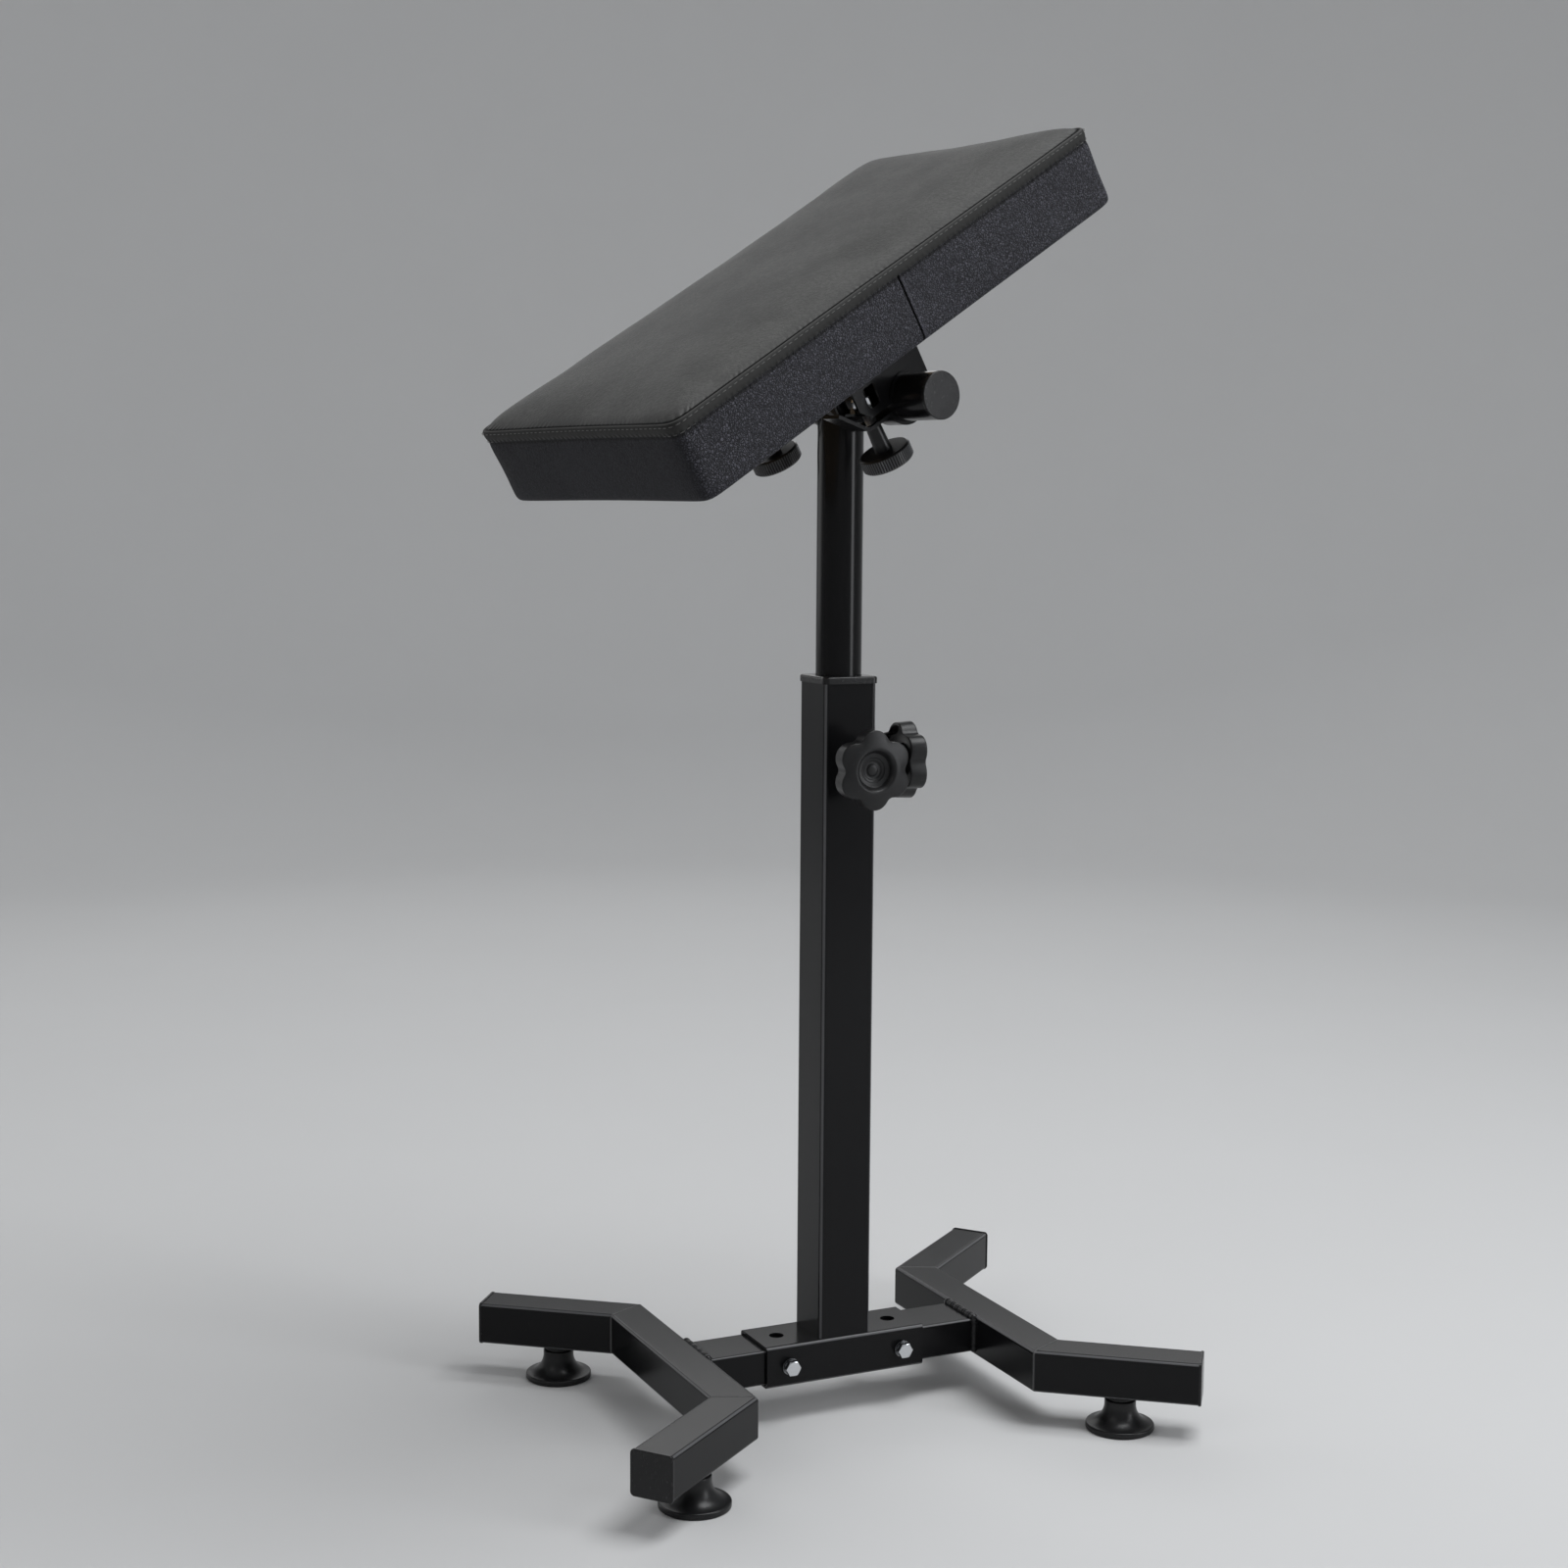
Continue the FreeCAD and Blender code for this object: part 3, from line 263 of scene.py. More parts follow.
def copied(piece, name, place):
    """A copy with its own mesh, moved to another place."""
    copy = piece.copy()
    copy.data = piece.data.copy()
    copy.name = name
    copy.data.name = name
    bpy.context.scene.collection.objects.link(copy)
    copy.data.transform(place)
    return copy


def join(pieces, name):
    clear_selection()
    for piece in pieces:
        piece.select_set(True)
    bpy.context.view_layer.objects.active = pieces[0]
    bpy.ops.object.join()
    return active_piece(name)


def give(piece, material, body):
    """Finish and body of a new piece."""
    piece.data.materials.clear()
    piece.data.materials.append(material)
    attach(piece, body)


# Shader maths

class Signal:
    """A socket in a material, so that shader maths reads as plain expressions."""

    def __init__(self, finish, socket):
        self.finish = finish
        self.socket = socket

    def maths(self, operation, *others):
        node = self.finish.node("ShaderNodeMath", {"operation": operation}, *([self] + list(others)))
        return Signal(self.finish, node.outputs[0])

    def __add__(self, other):
        return self.maths("ADD", other)

    __radd__ = __add__

    def __mul__(self, other):
        return self.maths("MULTIPLY", other)

    __rmul__ = __mul__

    def __sub__(self, other):
        return self.maths("SUBTRACT", other)

    def __rsub__(self, other):
        return (self * -1) + other

    def __truediv__(self, other):
        return self.maths("DIVIDE", other)

    def sine(self):
        return self.maths("SINE")

    def size(self):
        return self.maths("ABSOLUTE")

    def smooth(self, low, high, to_low=0.0, to_high=1.0):
        """Smooth step: to_low below low and to_high above high."""
        node = self.finish.node(
            "ShaderNodeMapRange", {"interpolation_type": "SMOOTHSTEP"},
            **{"Value": self, "From Min": low, "From Max": high, "To Min": to_low, "To Max": to_high})
        return Signal(self.finish, node.outputs[0])


class Finish:
    """One material, with a method that adds any node."""

    def __init__(self, name):
        self.material = bpy.data.materials.new(name)
        self.material.use_nodes = True
        self.tree = self.material.node_tree
        self.shader = next(node for node in self.tree.nodes if node.type == "BSDF_PRINCIPLED")

    def connect(self, socket, value):
        if isinstance(value, Signal):
            self.tree.links.new(value.socket, socket)
        elif isinstance(value, bpy.types.NodeSocket):
            self.tree.links.new(value, socket)
        elif socket.type == "RGBA" and len(value) == 3:
            socket.default_value = (*value, 1)
        else:
            socket.default_value = value

    def node(self, kind, settings=None, *values, **sockets):
        node = self.tree.nodes.new(kind)
        for name, value in (settings or {}).items():
            setattr(node, name, value)
        for index, value in enumerate(values):
            self.connect(node.inputs[index], value)
        for name, value in sockets.items():
            self.connect(node.inputs[name], value)
        return node

    def place(self, matrix=None):
        """Object coordinates in metres, turned into a piece's own frame where one is given."""
        coordinates = self.node("ShaderNodeTexCoord").outputs["Object"]
        if matrix is None:
            return coordinates
        back = matrix.inverted()
        turn = back.to_euler()
        node = self.node("ShaderNodeMapping", {"vector_type": "POINT"},
                         **{"Vector": coordinates, "Location": back.translation, "Rotation": turn})
        return node.outputs[0]

    def axis(self, vector, letter):
        node = self.node("ShaderNodeSeparateXYZ", None, vector)
        return Signal(self, node.outputs[letter])

    def noise(self, vector, scale, detail=2.0, roughness=0.5):
        node = self.node("ShaderNodeTexNoise", None,
                         **{"Vector": vector, "Scale": scale, "Detail": detail, "Roughness": roughness})
        return Signal(self, node.outputs[0])

    def cells(self, vector, scale, feature="F1", smoothness=None):
        sockets = {"Vector": vector, "Scale": scale}
        if smoothness is not None:
            sockets["Smoothness"] = smoothness
        node = self.node("ShaderNodeTexVoronoi", {"feature": feature}, **sockets)
        return Signal(self, node.outputs["Distance"])

    def stretched(self, vector, scales):
        node = self.node("ShaderNodeVectorMath", {"operation": "MULTIPLY"}, vector, scales)
        return node.outputs[0]

    def mitre_seam(self, spot, corner, foot):
        """1 along the seam where a leg meets its crossbar, the same on all four corners."""
        run = (foot - corner).normalized()
        normal = (run + Vector((0, 1, 0))).normalized()
        across = self.axis(spot, "X").size() - corner.x
        along = self.axis(spot, "Y").size() - corner.y
        distance = (across * normal.x + along * normal.y).size()
        return distance.smooth(0.3 * mm, 1.1 * mm, 1, 0)

    def tube_edges(self, upright):
        """1 on the rounded long edges of a square tube, lying or upright, and 0 on its flats."""
        normal = self.node("ShaderNodeTexCoord").outputs["Normal"]
        if upright:
            flattest = self.axis(normal, "X").size().maths("MAXIMUM", self.axis(normal, "Y").size())
        else:
            rise = self.axis(normal, "Z").size()
            level = (1 - rise * rise).maths("POWER", 0.5)
            flattest = rise.maths("MAXIMUM", level)
        on_round, on_flat = 0.82, 0.97
        return flattest.smooth(on_round, on_flat, 1, 0)

    def radius(self, vector):
        """Distance from the Z axis of a piece's own frame."""
        squares = self.axis(vector, "X").maths("POWER", 2) + self.axis(vector, "Y").maths("POWER", 2)
        return squares.maths("POWER", 0.5)

    def mix(self, share, first, second):
        node = self.node("ShaderNodeMix", {"data_type": "RGBA"})
        self.connect(node.inputs[0], share)
        self.connect(node.inputs[6], first)
        self.connect(node.inputs[7], second)
        return node.outputs[2]

    def relief(self, height, distance, strength=1.0, under=None):
        """A Bump node; distance is the real depth in metres."""
        sockets = {"Height": height, "Distance": distance, "Strength": strength}
        if under is not None:
            sockets["Normal"] = under
        return self.node("ShaderNodeBump", None, **sockets).outputs[0]

    def surface(self, **sockets):
        for name, value in sockets.items():
            self.connect(self.shader.inputs[name.replace("_", " ")], value)
        return self.material


def scaled(colour, amount):
    return [min(channel * amount, 1) for channel in colour]


def enamel_finish(name, colour, mitre=None, square=None):
    """Gloss black enamel on steel tube: slight orange peel, haze and fine rub marks.

    Mitre is a point of a leg's mitre and the point that the leg runs to, for its ground weld seam.
    Square is "lying" or "upright" for a square tube, whose rounded edges get a painted highlight, a paler
    line along them."""
    finish = Finish(name)
    spot = finish.place()
    haze = finish.noise(spot, 9, 3)
    peel = finish.noise(spot, 420, 2)
    waves = finish.noise(spot, 38, 2)
    rubs = finish.noise(finish.stretched(spot, (900, 900, 60)), 1, 2).smooth(0.66, 0.74)
    dust = finish.noise(spot, 1500, 2).smooth(0.68, 0.78)
    tone = finish.mix(haze * 0.5, colour, scaled(colour, 1.5))
    tone = finish.mix(dust * 0.05, tone, (0.12, 0.12, 0.12))
    if square is not None:
        edges = finish.tube_edges(square == "upright")
        # Painted highlight: the rounded edges are painted paler, as thin lines of light along them.
        tone = finish.mix(edges * (haze * 0.5 + 0.45), tone, (0.14, 0.14, 0.145))
    bump = finish.relief(peel, 0.006 * mm, 0.5)
    bump = finish.relief(waves, 0.02 * mm, 0.5, bump)
    roughness = 0.13 + haze * 0.09 + rubs * 0.08 + dust * 0.2
    if mitre is not None:
        seam = finish.mitre_seam(spot, *mitre)
        uneven = finish.noise(spot, 700, 2)
        bump = finish.relief(seam * (uneven * 0.8 + 0.4), 0.5 * mm, 0.9, bump)
        tone = finish.mix(seam * 0.7, tone, (0.11, 0.11, 0.11))
        roughness += seam * 0.12
    return finish.surface(Base_Color=tone, Roughness=roughness, Normal=bump, IOR=1.26)


def weld_finish(colour):
    """Enamel over a weld bead, duller in the hollows."""
    finish = Finish("painted_weld")
    spot = finish.place()
    grain = finish.noise(spot, 900, 3)
    bump = finish.relief(grain, 0.08 * mm, 0.7)
    return finish.surface(
        Base_Color=finish.mix(grain, colour, scaled(colour, 1.8)), Roughness=0.2 + grain * 0.2,
        Normal=bump, IOR=1.4)


def plastic_finish(name, colour, grain_size, depth, roughness, ribbed_place=None):
    """Moulded black plastic with the fine spark grain of its mould and light scuffs.

    Ribbed_place is the frame of a ribbed grip, whose ribs get a painted highlight along their outer edges
    and painted shade on their flanks."""
    finish = Finish(name)
    spot = finish.place()
    grain = finish.noise(spot, 1 / grain_size, 2, 0.6)
    patches = finish.noise(spot, 60, 3)
    scuffs = finish.noise(finish.stretched(spot, (260, 1300, 260)), 1, 3).smooth(0.62, 0.75)
    tone = finish.mix(patches * 0.6, colour, scaled(colour, 1.6))
    tone = finish.mix(scuffs * 0.08, tone, (0.10, 0.10, 0.10))
    if ribbed_place is not None:
        flank_radius, crest_radius = 17.55 * mm, 17.95 * mm
        crests = finish.radius(finish.place(ribbed_place)).smooth(flank_radius, crest_radius)
        # Painted highlight along the ribs and painted shade on their flanks.
        tone = finish.mix(crests * 0.8, scaled(colour, 0.4), (0.075, 0.075, 0.08))
    return finish.surface(
        Base_Color=tone, Roughness=patches * 0.12 + scuffs * 0.08 + (roughness - 0.06),
        Normal=finish.relief(grain, depth, 0.8), IOR=1.37)


def zinc_finish(name, colour):
    """Bright zinc plate: faint spangle and a little dulling."""
    finish = Finish(name)
    spot = finish.place()
    spangle = finish.noise(spot, 500, 3)
    dull = finish.noise(spot, 120, 2)
    tone = finish.mix(spangle * 0.6, scaled(colour, 0.86), colour)
    tone = finish.mix(dull.smooth(0.55, 0.8) * 0.35, tone, (0.52, 0.56, 0.62))
    return finish.surface(
        Base_Color=tone, Metallic=1.0, Roughness=0.12 + dull * 0.16,
        Normal=finish.relief(spangle, 0.01 * mm, 0.6))


def thread_finish(name, colour, place, pitch):
    """Zinc plated screw thread: a helix of 60 degree flanks along the stud's own axis."""
    finish = Finish(name)
    spot = finish.place(place)
    along = finish.axis(spot, "Z")
    around = finish.node("ShaderNodeMath", {"operation": "ARCTAN2"},
                         finish.axis(spot, "Y"), finish.axis(spot, "X"))
    turn = Signal(finish, around.outputs[0]) / (2 * math.pi)
    phase = along / pitch - turn
    wave = phase.maths("PINGPONG", 0.5) * 2
    # Painted shade: the roots of the thread are painted darker than its flanks.
    tone = finish.mix(wave, scaled(colour, 0.35), colour)
    return finish.surface(
        Base_Color=tone, Metallic=1.0, Roughness=0.42 - wave * 0.16,
        Normal=finish.relief(wave, 0.55 * mm, 1.0))


def plywood_finish(colour, place):
    """Plywood board under the pad: long grain on the faces and plies on the edges."""
    finish = Finish("plywood")
    spot = finish.place(place)
    grain = finish.noise(finish.stretched(spot, (12, 160, 160)), 1, 5, 0.6)
    pores = finish.noise(finish.stretched(spot, (60, 1400, 1400)), 1, 2).smooth(0.58, 0.7)
    plies = (finish.axis(spot, "Z") * (2 * math.pi / (2.4 * mm))).sine().smooth(-0.3, 0.3)
    tone = finish.mix(grain.smooth(0.3, 0.7), scaled(colour, 0.72), scaled(colour, 1.15))
    tone = finish.mix(pores * 0.5, tone, scaled(colour, 0.4))
    tone = finish.mix(plies * 0.25, tone, scaled(colour, 0.5))
    return finish.surface(
        Base_Color=tone, Roughness=grain * 0.2 + 0.6, Normal=finish.relief(grain, 0.12 * mm, 0.7))


# Upholstery finishes

def seam_runs(finish):
    """The cover's UV map: distances along the seams and down the side, in metres.

    Puckers follow the stitching round the corners by it."""
    node = finish.node("ShaderNodeUVMap", {"uv_map": "seam_run"})
    return finish.axis(node.outputs[0], "X"), finish.axis(node.outputs[0], "Y")


def near(run, centre, reach):
    """1 at a seam and 0 beyond its reach."""
    return (run - centre).size().smooth(0, reach, 1, 0)


def near_corners(run, marks, reach):
    """1 at the pad's corners, where the cover is gathered most."""
    first, *others = [near(run, corner, reach) for corner in marks["corner_runs"]]
    for mask in others:
        first += mask
    return first


def gathered(along, marks):
    """A wave that runs along the seams with the stitches."""
    return (along * (2 * math.pi / marks["pitch"])).sine()


def top_finish(colour, marks):
    """Smooth leatherette of the top panel: fine grain, soft creases and gathered edges."""
    finish = Finish("top_leatherette")
    spot = finish.place()
    along, upward = seam_runs(finish)
    pores = finish.cells(spot, 1300, "SMOOTH_F1", 0.4)
    pits = finish.noise(spot, 2600, 2)
    creases = finish.noise(spot, 85, 4, 0.62)
    broad = finish.noise(spot, 7, 3)
    rubbed = finish.noise(spot, 24, 5, 0.62)
    grain = finish.noise(spot, 420, 3, 0.6)
    gathers = gathered(along, marks)
    drift = finish.noise(spot, 60, 3).smooth(0.35, 0.7)
    edge = near(upward, marks["top_seam"], 6 * mm)
    tone = finish.mix(broad.smooth(0.3, 0.7) * 0.5, colour, scaled(colour, 1.22))
    seam = near(upward, marks["top_seam"], 1.4 * mm)
    tone = finish.mix(rubbed.smooth(0.34, 0.66) * 0.75, tone, scaled(colour, 1.7))
    tone = finish.mix(grain.smooth(0.35, 0.65) * 0.45, tone, scaled(colour, 0.55))
    tone = finish.mix(pores.smooth(0.3, 0.7) * 0.3, tone, scaled(colour, 0.7))
    roll = near(upward, marks["top_seam"], marks["top_seam"])
    tone = finish.mix(roll * 0.6, tone, scaled(colour, 0.5))
    # Painted shadow: a near black line in the hollow of the top seam.
    tone = finish.mix(seam, tone, scaled(colour, 0.06))
    corner = near_corners(along, marks, 22 * mm)
    bump = finish.relief(gathers * edge * (drift + corner * 1.5), 0.3 * mm, 0.6)
    bump = finish.relief(creases, 0.5 * mm, 0.4, bump)
    bump = finish.relief(grain, 0.45 * mm, 0.7, bump)
    bump = finish.relief(pores + pits * 0.5, 0.14 * mm, 0.7, bump)
    # Metallic at the seam takes the shine out of its painted shadow.
    return finish.surface(
        Base_Color=tone, Metallic=seam, Roughness=0.6 + broad * 0.1 - creases * 0.06, Normal=bump, IOR=1.4,
        Sheen_Weight=0.06, Sheen_Roughness=0.5, Sheen_Tint=(0.75, 0.77, 0.8))


def boxing_finish(colour, marks, sizes):
    """Pebbled leatherette of the boxing strip, gathered under the lower seam."""
    finish = Finish("boxing_leatherette")
    spot = finish.place()
    along, upward = seam_runs(finish)
    sway = finish.noise(spot, 150, 2) - 0.5
    wander = finish.node("ShaderNodeTexNoise", None, Vector=spot, Scale=260.0, Detail=2.0).outputs["Color"]
    bend = finish.stretched(wander, (0.004, 0.004, 0.004))
    warped = finish.node("ShaderNodeVectorMath", {"operation": "ADD"}, spot, bend).outputs[0]
    pebble_scale = 600.0
    pebbles = finish.cells(warped, pebble_scale, "SMOOTH_F1", 0.25)
    cracks = finish.cells(warped, pebble_scale, "DISTANCE_TO_EDGE").smooth(0.02, 0.28)
    chance = finish.node("ShaderNodeTexVoronoi", None, Vector=warped, Scale=pebble_scale)
    lit = finish.axis(chance.outputs["Color"], "X").smooth(0.1, 0.9)
    fine = finish.noise(spot, 1900, 3)
    broad = finish.noise(spot, 16, 3)
    gathers = gathered(along, marks)
    edge = near(upward, marks["low_seam"], 8 * mm)
    corner = near_corners(along, marks, 20 * mm)
    # Short_side is 0 on the low short end, where the painted glints are cut to a fifth, so that end is
    # painted darker as shade.
    short_side = finish.axis(finish.place(sizes["place"]), "X").smooth(
        2 * mm - sizes["half_length"], 5 * mm - sizes["half_length"])
    joint = near(along, marks["joint_run"], 1.5 * mm).smooth(0.2, 0.6)
    painted_lip_highlight = near(along, marks["joint_run"] + 2.4 * mm, 1.4 * mm)
    joint_pull = near(along, marks["joint_run"], 8 * mm)
    seam = near(upward, marks["low_seam"], 1.6 * mm)
    # Painted glints: the pebbles' raised middles are painted up to nearly four times the colour, with a
    # random strength for each pebble, as highlight, and the cracks at half the colour as shade.
    painted_pebble_glint = cracks * (lit * 0.5 + 0.45) * (short_side * 0.8 + 0.2)
    tone = finish.mix(painted_pebble_glint, scaled(colour, 0.5), scaled(colour, 3.9))
    tone = finish.mix(broad.smooth(0.35, 0.7) * 0.25, tone, scaled(colour, 1.5))
    # Painted highlight on the lip beside the joint, painted shade near black in the joint and painted shade
    # along the low seam.
    tone = finish.mix(painted_lip_highlight * 0.5, tone, scaled(colour, 3.0))
    tone = finish.mix(joint, tone, scaled(colour, 0.05))
    tone = finish.mix(seam * 0.9, tone, scaled(colour, 0.1))
    puckers = gathers * edge * ((sway * 2.5 + 0.4).smooth(0, 1) + corner * 0.7)
    bump = finish.relief(puckers * (short_side * 0.85 + 0.15), 0.6 * mm, 0.8)
    wrinkles = finish.noise(spot, 34, 3, 0.55)
    bump = finish.relief(wrinkles, 3 * mm, 0.35, bump)
    bump = finish.relief(joint_pull * 0.6 - joint, 0.8 * mm, 0.8, bump)
    pebbled = (cracks * 0.8 - pebbles * 0.5 + fine * 0.2) * (short_side * 0.6 + 0.4)
    bump = finish.relief(pebbled, 0.5 * mm, 0.9, bump)
    # The joint is painted near black as shade, and Metallic there takes its shine away, so it reflects no
    # more than that dark colour.
    return finish.surface(
        Base_Color=tone, Roughness=0.66 - painted_pebble_glint * 0.26 + fine * 0.08, Metallic=joint, Normal=bump, IOR=1.33)


def band_finish(colour, marks):
    """The welt band: the top's leatherette, drawn tight and gathered between its seams."""
    finish = Finish("welt_leatherette")
    spot = finish.place()
    along, upward = seam_runs(finish)
    pores = finish.cells(spot, 1100, "SMOOTH_F1", 0.4)
    soft = finish.noise(spot, 240, 3)
    gathers = gathered(along, marks)
    low = near(upward, marks["low_seam"], 4.5 * mm)
    dark = near(upward, marks["low_seam"], 1.5 * mm)
    groove = near(upward, marks["top_seam"], 1.4 * mm)
    ridge = near(upward, marks["top_seam"] + 1.9 * mm, 0.9 * mm)
    corner = near_corners(along, marks, 20 * mm)
    # Painted shade: the band gets the top's own leatherette colour at about a third, as a shaded copy of
    # the top.
    tone = finish.mix(pores.smooth(0.3, 0.7) * 0.35, scaled(colour, 0.34), scaled(colour, 0.25))
    # Painted highlight on the raised line above the top seam, painted shadow in the top seam's hollow and
    # painted shade along the low seam.
    tone = finish.mix(ridge * 0.6, tone, scaled(colour, 1.6))
    tone = finish.mix(groove, tone, scaled(colour, 0.06))
    tone = finish.mix(dark, tone, scaled(colour, 0.06))
    bump = finish.relief(gathers * low * (soft * 1.5 + 0.2 + corner), 0.5 * mm, 0.8)
    bump = finish.relief(soft, 0.3 * mm, 0.4, bump)
    bump = finish.relief(pores, 0.09 * mm, 0.6, bump)
    # Metallic in the top seam's hollow takes the shine out of its painted shadow.
    return finish.surface(
        Base_Color=tone, Metallic=groove, Roughness=0.58 + soft * 0.16, Normal=bump, IOR=1.36)


def sewing_finish(colour):
    """Twisted polyester thread."""
    finish = Finish("sewing_thread")
    spot = finish.place()
    fuzz = finish.noise(spot, 5000, 2)
    return finish.surface(
        Base_Color=finish.mix(fuzz, scaled(colour, 0.6), scaled(colour, 1.6)), Roughness=0.62,
        Normal=finish.relief(fuzz, 0.05 * mm, 0.8), Sheen_Weight=0.2)


# Pad cushion

def pad_sizes():
    """Sizes of the cushion and its board, and the cushion's own frame with Z up from its underside."""
    low, high = local_bounds("pad_cushion", pad_place())
    board_low, board_high = local_bounds("pad_board", pad_place())
    half_length = (high.x - low.x) / 2
    middle = Vector(((high.x + low.x) / 2, (high.y + low.y) / 2, low.z))
    return {
        "half_length": half_length, "half_width": (high.y - low.y) / 2, "height": high.z - low.z,
        "place": pad_place() @ Matrix.Translation(middle),
        "board_inset": half_length - (board_high.x - board_low.x) / 2,
        "board_thickness": board_high.z - board_low.z,
    }


def distances(points):
    """How far each point lies along a closed run, with the whole length as the last."""
    runs = [0.0]
    for index, point in enumerate(points):
        runs.append(runs[-1] + (points[(index + 1) % len(points)] - point).length)
    return runs


class Outline:
    """The pad's outline seen from above. A grid of cells fills it, and rings follow its border."""

    corner_cells = 3
    side_cells = (30, 16)

    def __init__(self, settings):
        sizes = pad_sizes()
        self.half = (sizes["half_length"], sizes["half_width"])
        self.corner = settings.corner_radius
        self.pull = settings.side_pull
        self.cells = [count + self.corner_cells for count in self.side_cells]

    def crown_radius(self, inset):
        return min(self.corner + 0.3 * inset, 0.9 * (self.half[1] - inset))

    def hem_radius(self, inset):
        return max(self.corner - inset, 0.8 * self.corner)

    def point(self, column, row, inset, radius):
        """A point of the outline, for a place on the border of the grid of cells."""
        counts = (abs(column), abs(row))
        beyond = [counts[axis] - self.side_cells[axis] for axis in (0, 1)]
        reach = [self.half[axis] - inset for axis in (0, 1)]
        if min(beyond) > 0:
            whole = 2 * self.corner_cells
            step = beyond[1] if beyond[0] > beyond[1] else whole - beyond[0]
            angle = math.radians(90) * step / whole
            spot = [reach[0] - radius + radius * math.cos(angle),
                    reach[1] - radius + radius * math.sin(angle)]
        else:
            along = 0 if beyond[0] <= 0 else 1
            across = 1 - along
            spot = [0, 0]
            spot[along] = counts[along] / self.side_cells[along] * (reach[along] - radius)
            share = spot[along] / reach[along]
            spot[across] = reach[across] - self.pull * (1 - share * share) ** 2
        return Vector((math.copysign(spot[0], column), math.copysign(spot[1], row), 0))

    def border(self):
        """The border cells in order, from the middle of the rear side round by the left."""
        columns, rows = self.cells
        run = [(column, rows) for column in range(0, -columns, -1)]
        run += [(-columns, row) for row in range(rows, -rows, -1)]
        run += [(column, -rows) for column in range(-columns, columns)]
        run += [(columns, row) for row in range(-rows, rows)]
        run += [(column, rows) for column in range(columns, 0, -1)]
        return run

    def ring(self, inset, crown=False):
        radius = self.crown_radius(inset) if crown else self.hem_radius(inset)
        return [self.point(column, row, inset, radius) for column, row in self.border()]

    def runs(self):
        """Distance round the outline at each border cell, with the whole length as the last."""
        return distances(self.ring(0))

    def run_on_front(self, share):
        """Distance round the outline of a place on the front side, as a share from the left."""
        runs = self.runs()
        columns, rows = self.cells
        border = self.border()
        left = runs[border.index((-columns, -rows))]
        right = runs[border.index((columns, -rows))]
        return left + (right - left) * share

    def corner_runs(self):
        """Distances round the outline to the middles of its four corners."""
        runs = self.runs()
        columns, rows = self.cells
        border = self.border()
        return [runs[border.index((x * columns, y * rows))] for x in (-1, 1) for y in (-1, 1)]

    def inset_of(self, spot):
        """How far a point lies inside the outline, by halving steps."""
        low, high = 0.0, self.half[1]
        while high - low > 0.01 * mm:
            inset = (low + high) / 2
            radius = self.crown_radius(inset)
            beyond = [abs(spot[axis]) - (self.half[axis] - inset - radius) for axis in (0, 1)]
            outside = math.hypot(max(beyond[0], 0), max(beyond[1], 0)) + min(max(beyond), 0) - radius
            if outside < 0:
                low = inset
            else:
                high = inset
        return low


def stitch_pitch(settings):
    """The stitch pitch that fits a whole number of stitches round the pad."""
    length = Outline(settings).runs()[-1]
    return length / round(length / settings.stitch_pitch)


def side_profile(settings):
    """The cover's section from the edge of the crown down to the pocket for the board.

    A step is inset and height in millimetres, the panel and whether the seams hold it still."""
    sizes = pad_sizes()
    top = (sizes["height"] - settings.crown) / mm
    low = top - settings.band_height / mm
    board = sizes["board_thickness"] / mm
    wall = sizes["board_inset"] / mm - 0.5
    return [
        (11.5, top + 5.1, "top", False), (9.2, top + 4.3, "top", False), (7.2, top + 3.4, "top", False),
        (5.6, top + 2.5, "top", False), (4.3, top + 1.6, "top", False), (3.4, top + 0.7, "top", True),
        (2.8, top - 0.3, "top", True), (2.3, top - 0.6, "band", True), (1.8, top + 0.1, "band", True),
        (1.3, top + 0.5, "band", True), (0.7, top + 0.2, "band", True), (0.3, top - 0.9, "band", True),
        (0.5, top - 1.9, "band", True), (0.1, top - 3.0, "band", True), (0.0, low + 2.2, "band", True),
        (0.4, low + 0.7, "band", True), (1.5, low - 0.3, "band", True), (2.1, low - 1.0, "boxing", True),
        (1.3, low - 1.8, "boxing", True), (0.6, low - 3.2, "boxing", True),
        (0.5, low - 6.5, "boxing", False), (0.9, low - 12, "boxing", False),
        (1.3, low - 19, "boxing", False), (1.4, low - 26, "boxing", False),
        (1.0, low - 33, "boxing", False), (0.5, low - 39, "boxing", False),
        (0.2, 4.6, "boxing", True), (0.3, 2.4, "boxing", True), (0.9, 0.9, "boxing", True),
        (2.2, 0.15, "boxing", True), (5.0, 0.0, "boxing", True), (wall, -0.2, "boxing", True),
        (wall + 5, -0.7, "boxing", True), (wall + 10, -0.75, "boxing", True),
        (wall + 10.6, -0.5, "boxing", True), (wall + 10.2, -0.15, "boxing", True),
        (wall + 1.2, -0.1, "boxing", True), (wall, 0.5, "boxing", True),
        (wall, board + 0.6, "boxing", True),
    ]


def crown_height(outline, settings, spot):
    """Height of the domed top above the band at a point: steep at the seam and flat in the middle."""
    depth = min(outline.inset_of(spot) / outline.half[1], 1)
    rise = 1 - (1 - depth ** 0.72) ** 2.5
    return settings.crown * rise


def profile_marks(settings):
    """Distances down the cover's section to its two seams, and the boxing joint's place."""
    steps = side_profile(settings)
    downs = [0.0]
    for before, after in zip(steps, steps[1:]):
        downs.append(downs[-1] + math.hypot(after[0] - before[0], after[1] - before[1]) * mm)
    panels = [step[2] for step in steps]
    return {
        "downs": downs,
        "top_seam": downs[panels.index("band") - 1],
        "low_seam": downs[panels.index("boxing")],
        "joint_run": Outline(settings).run_on_front(settings.joint_share),
        "corner_runs": Outline(settings).corner_runs(),
        "pitch": stitch_pitch(settings),
    }


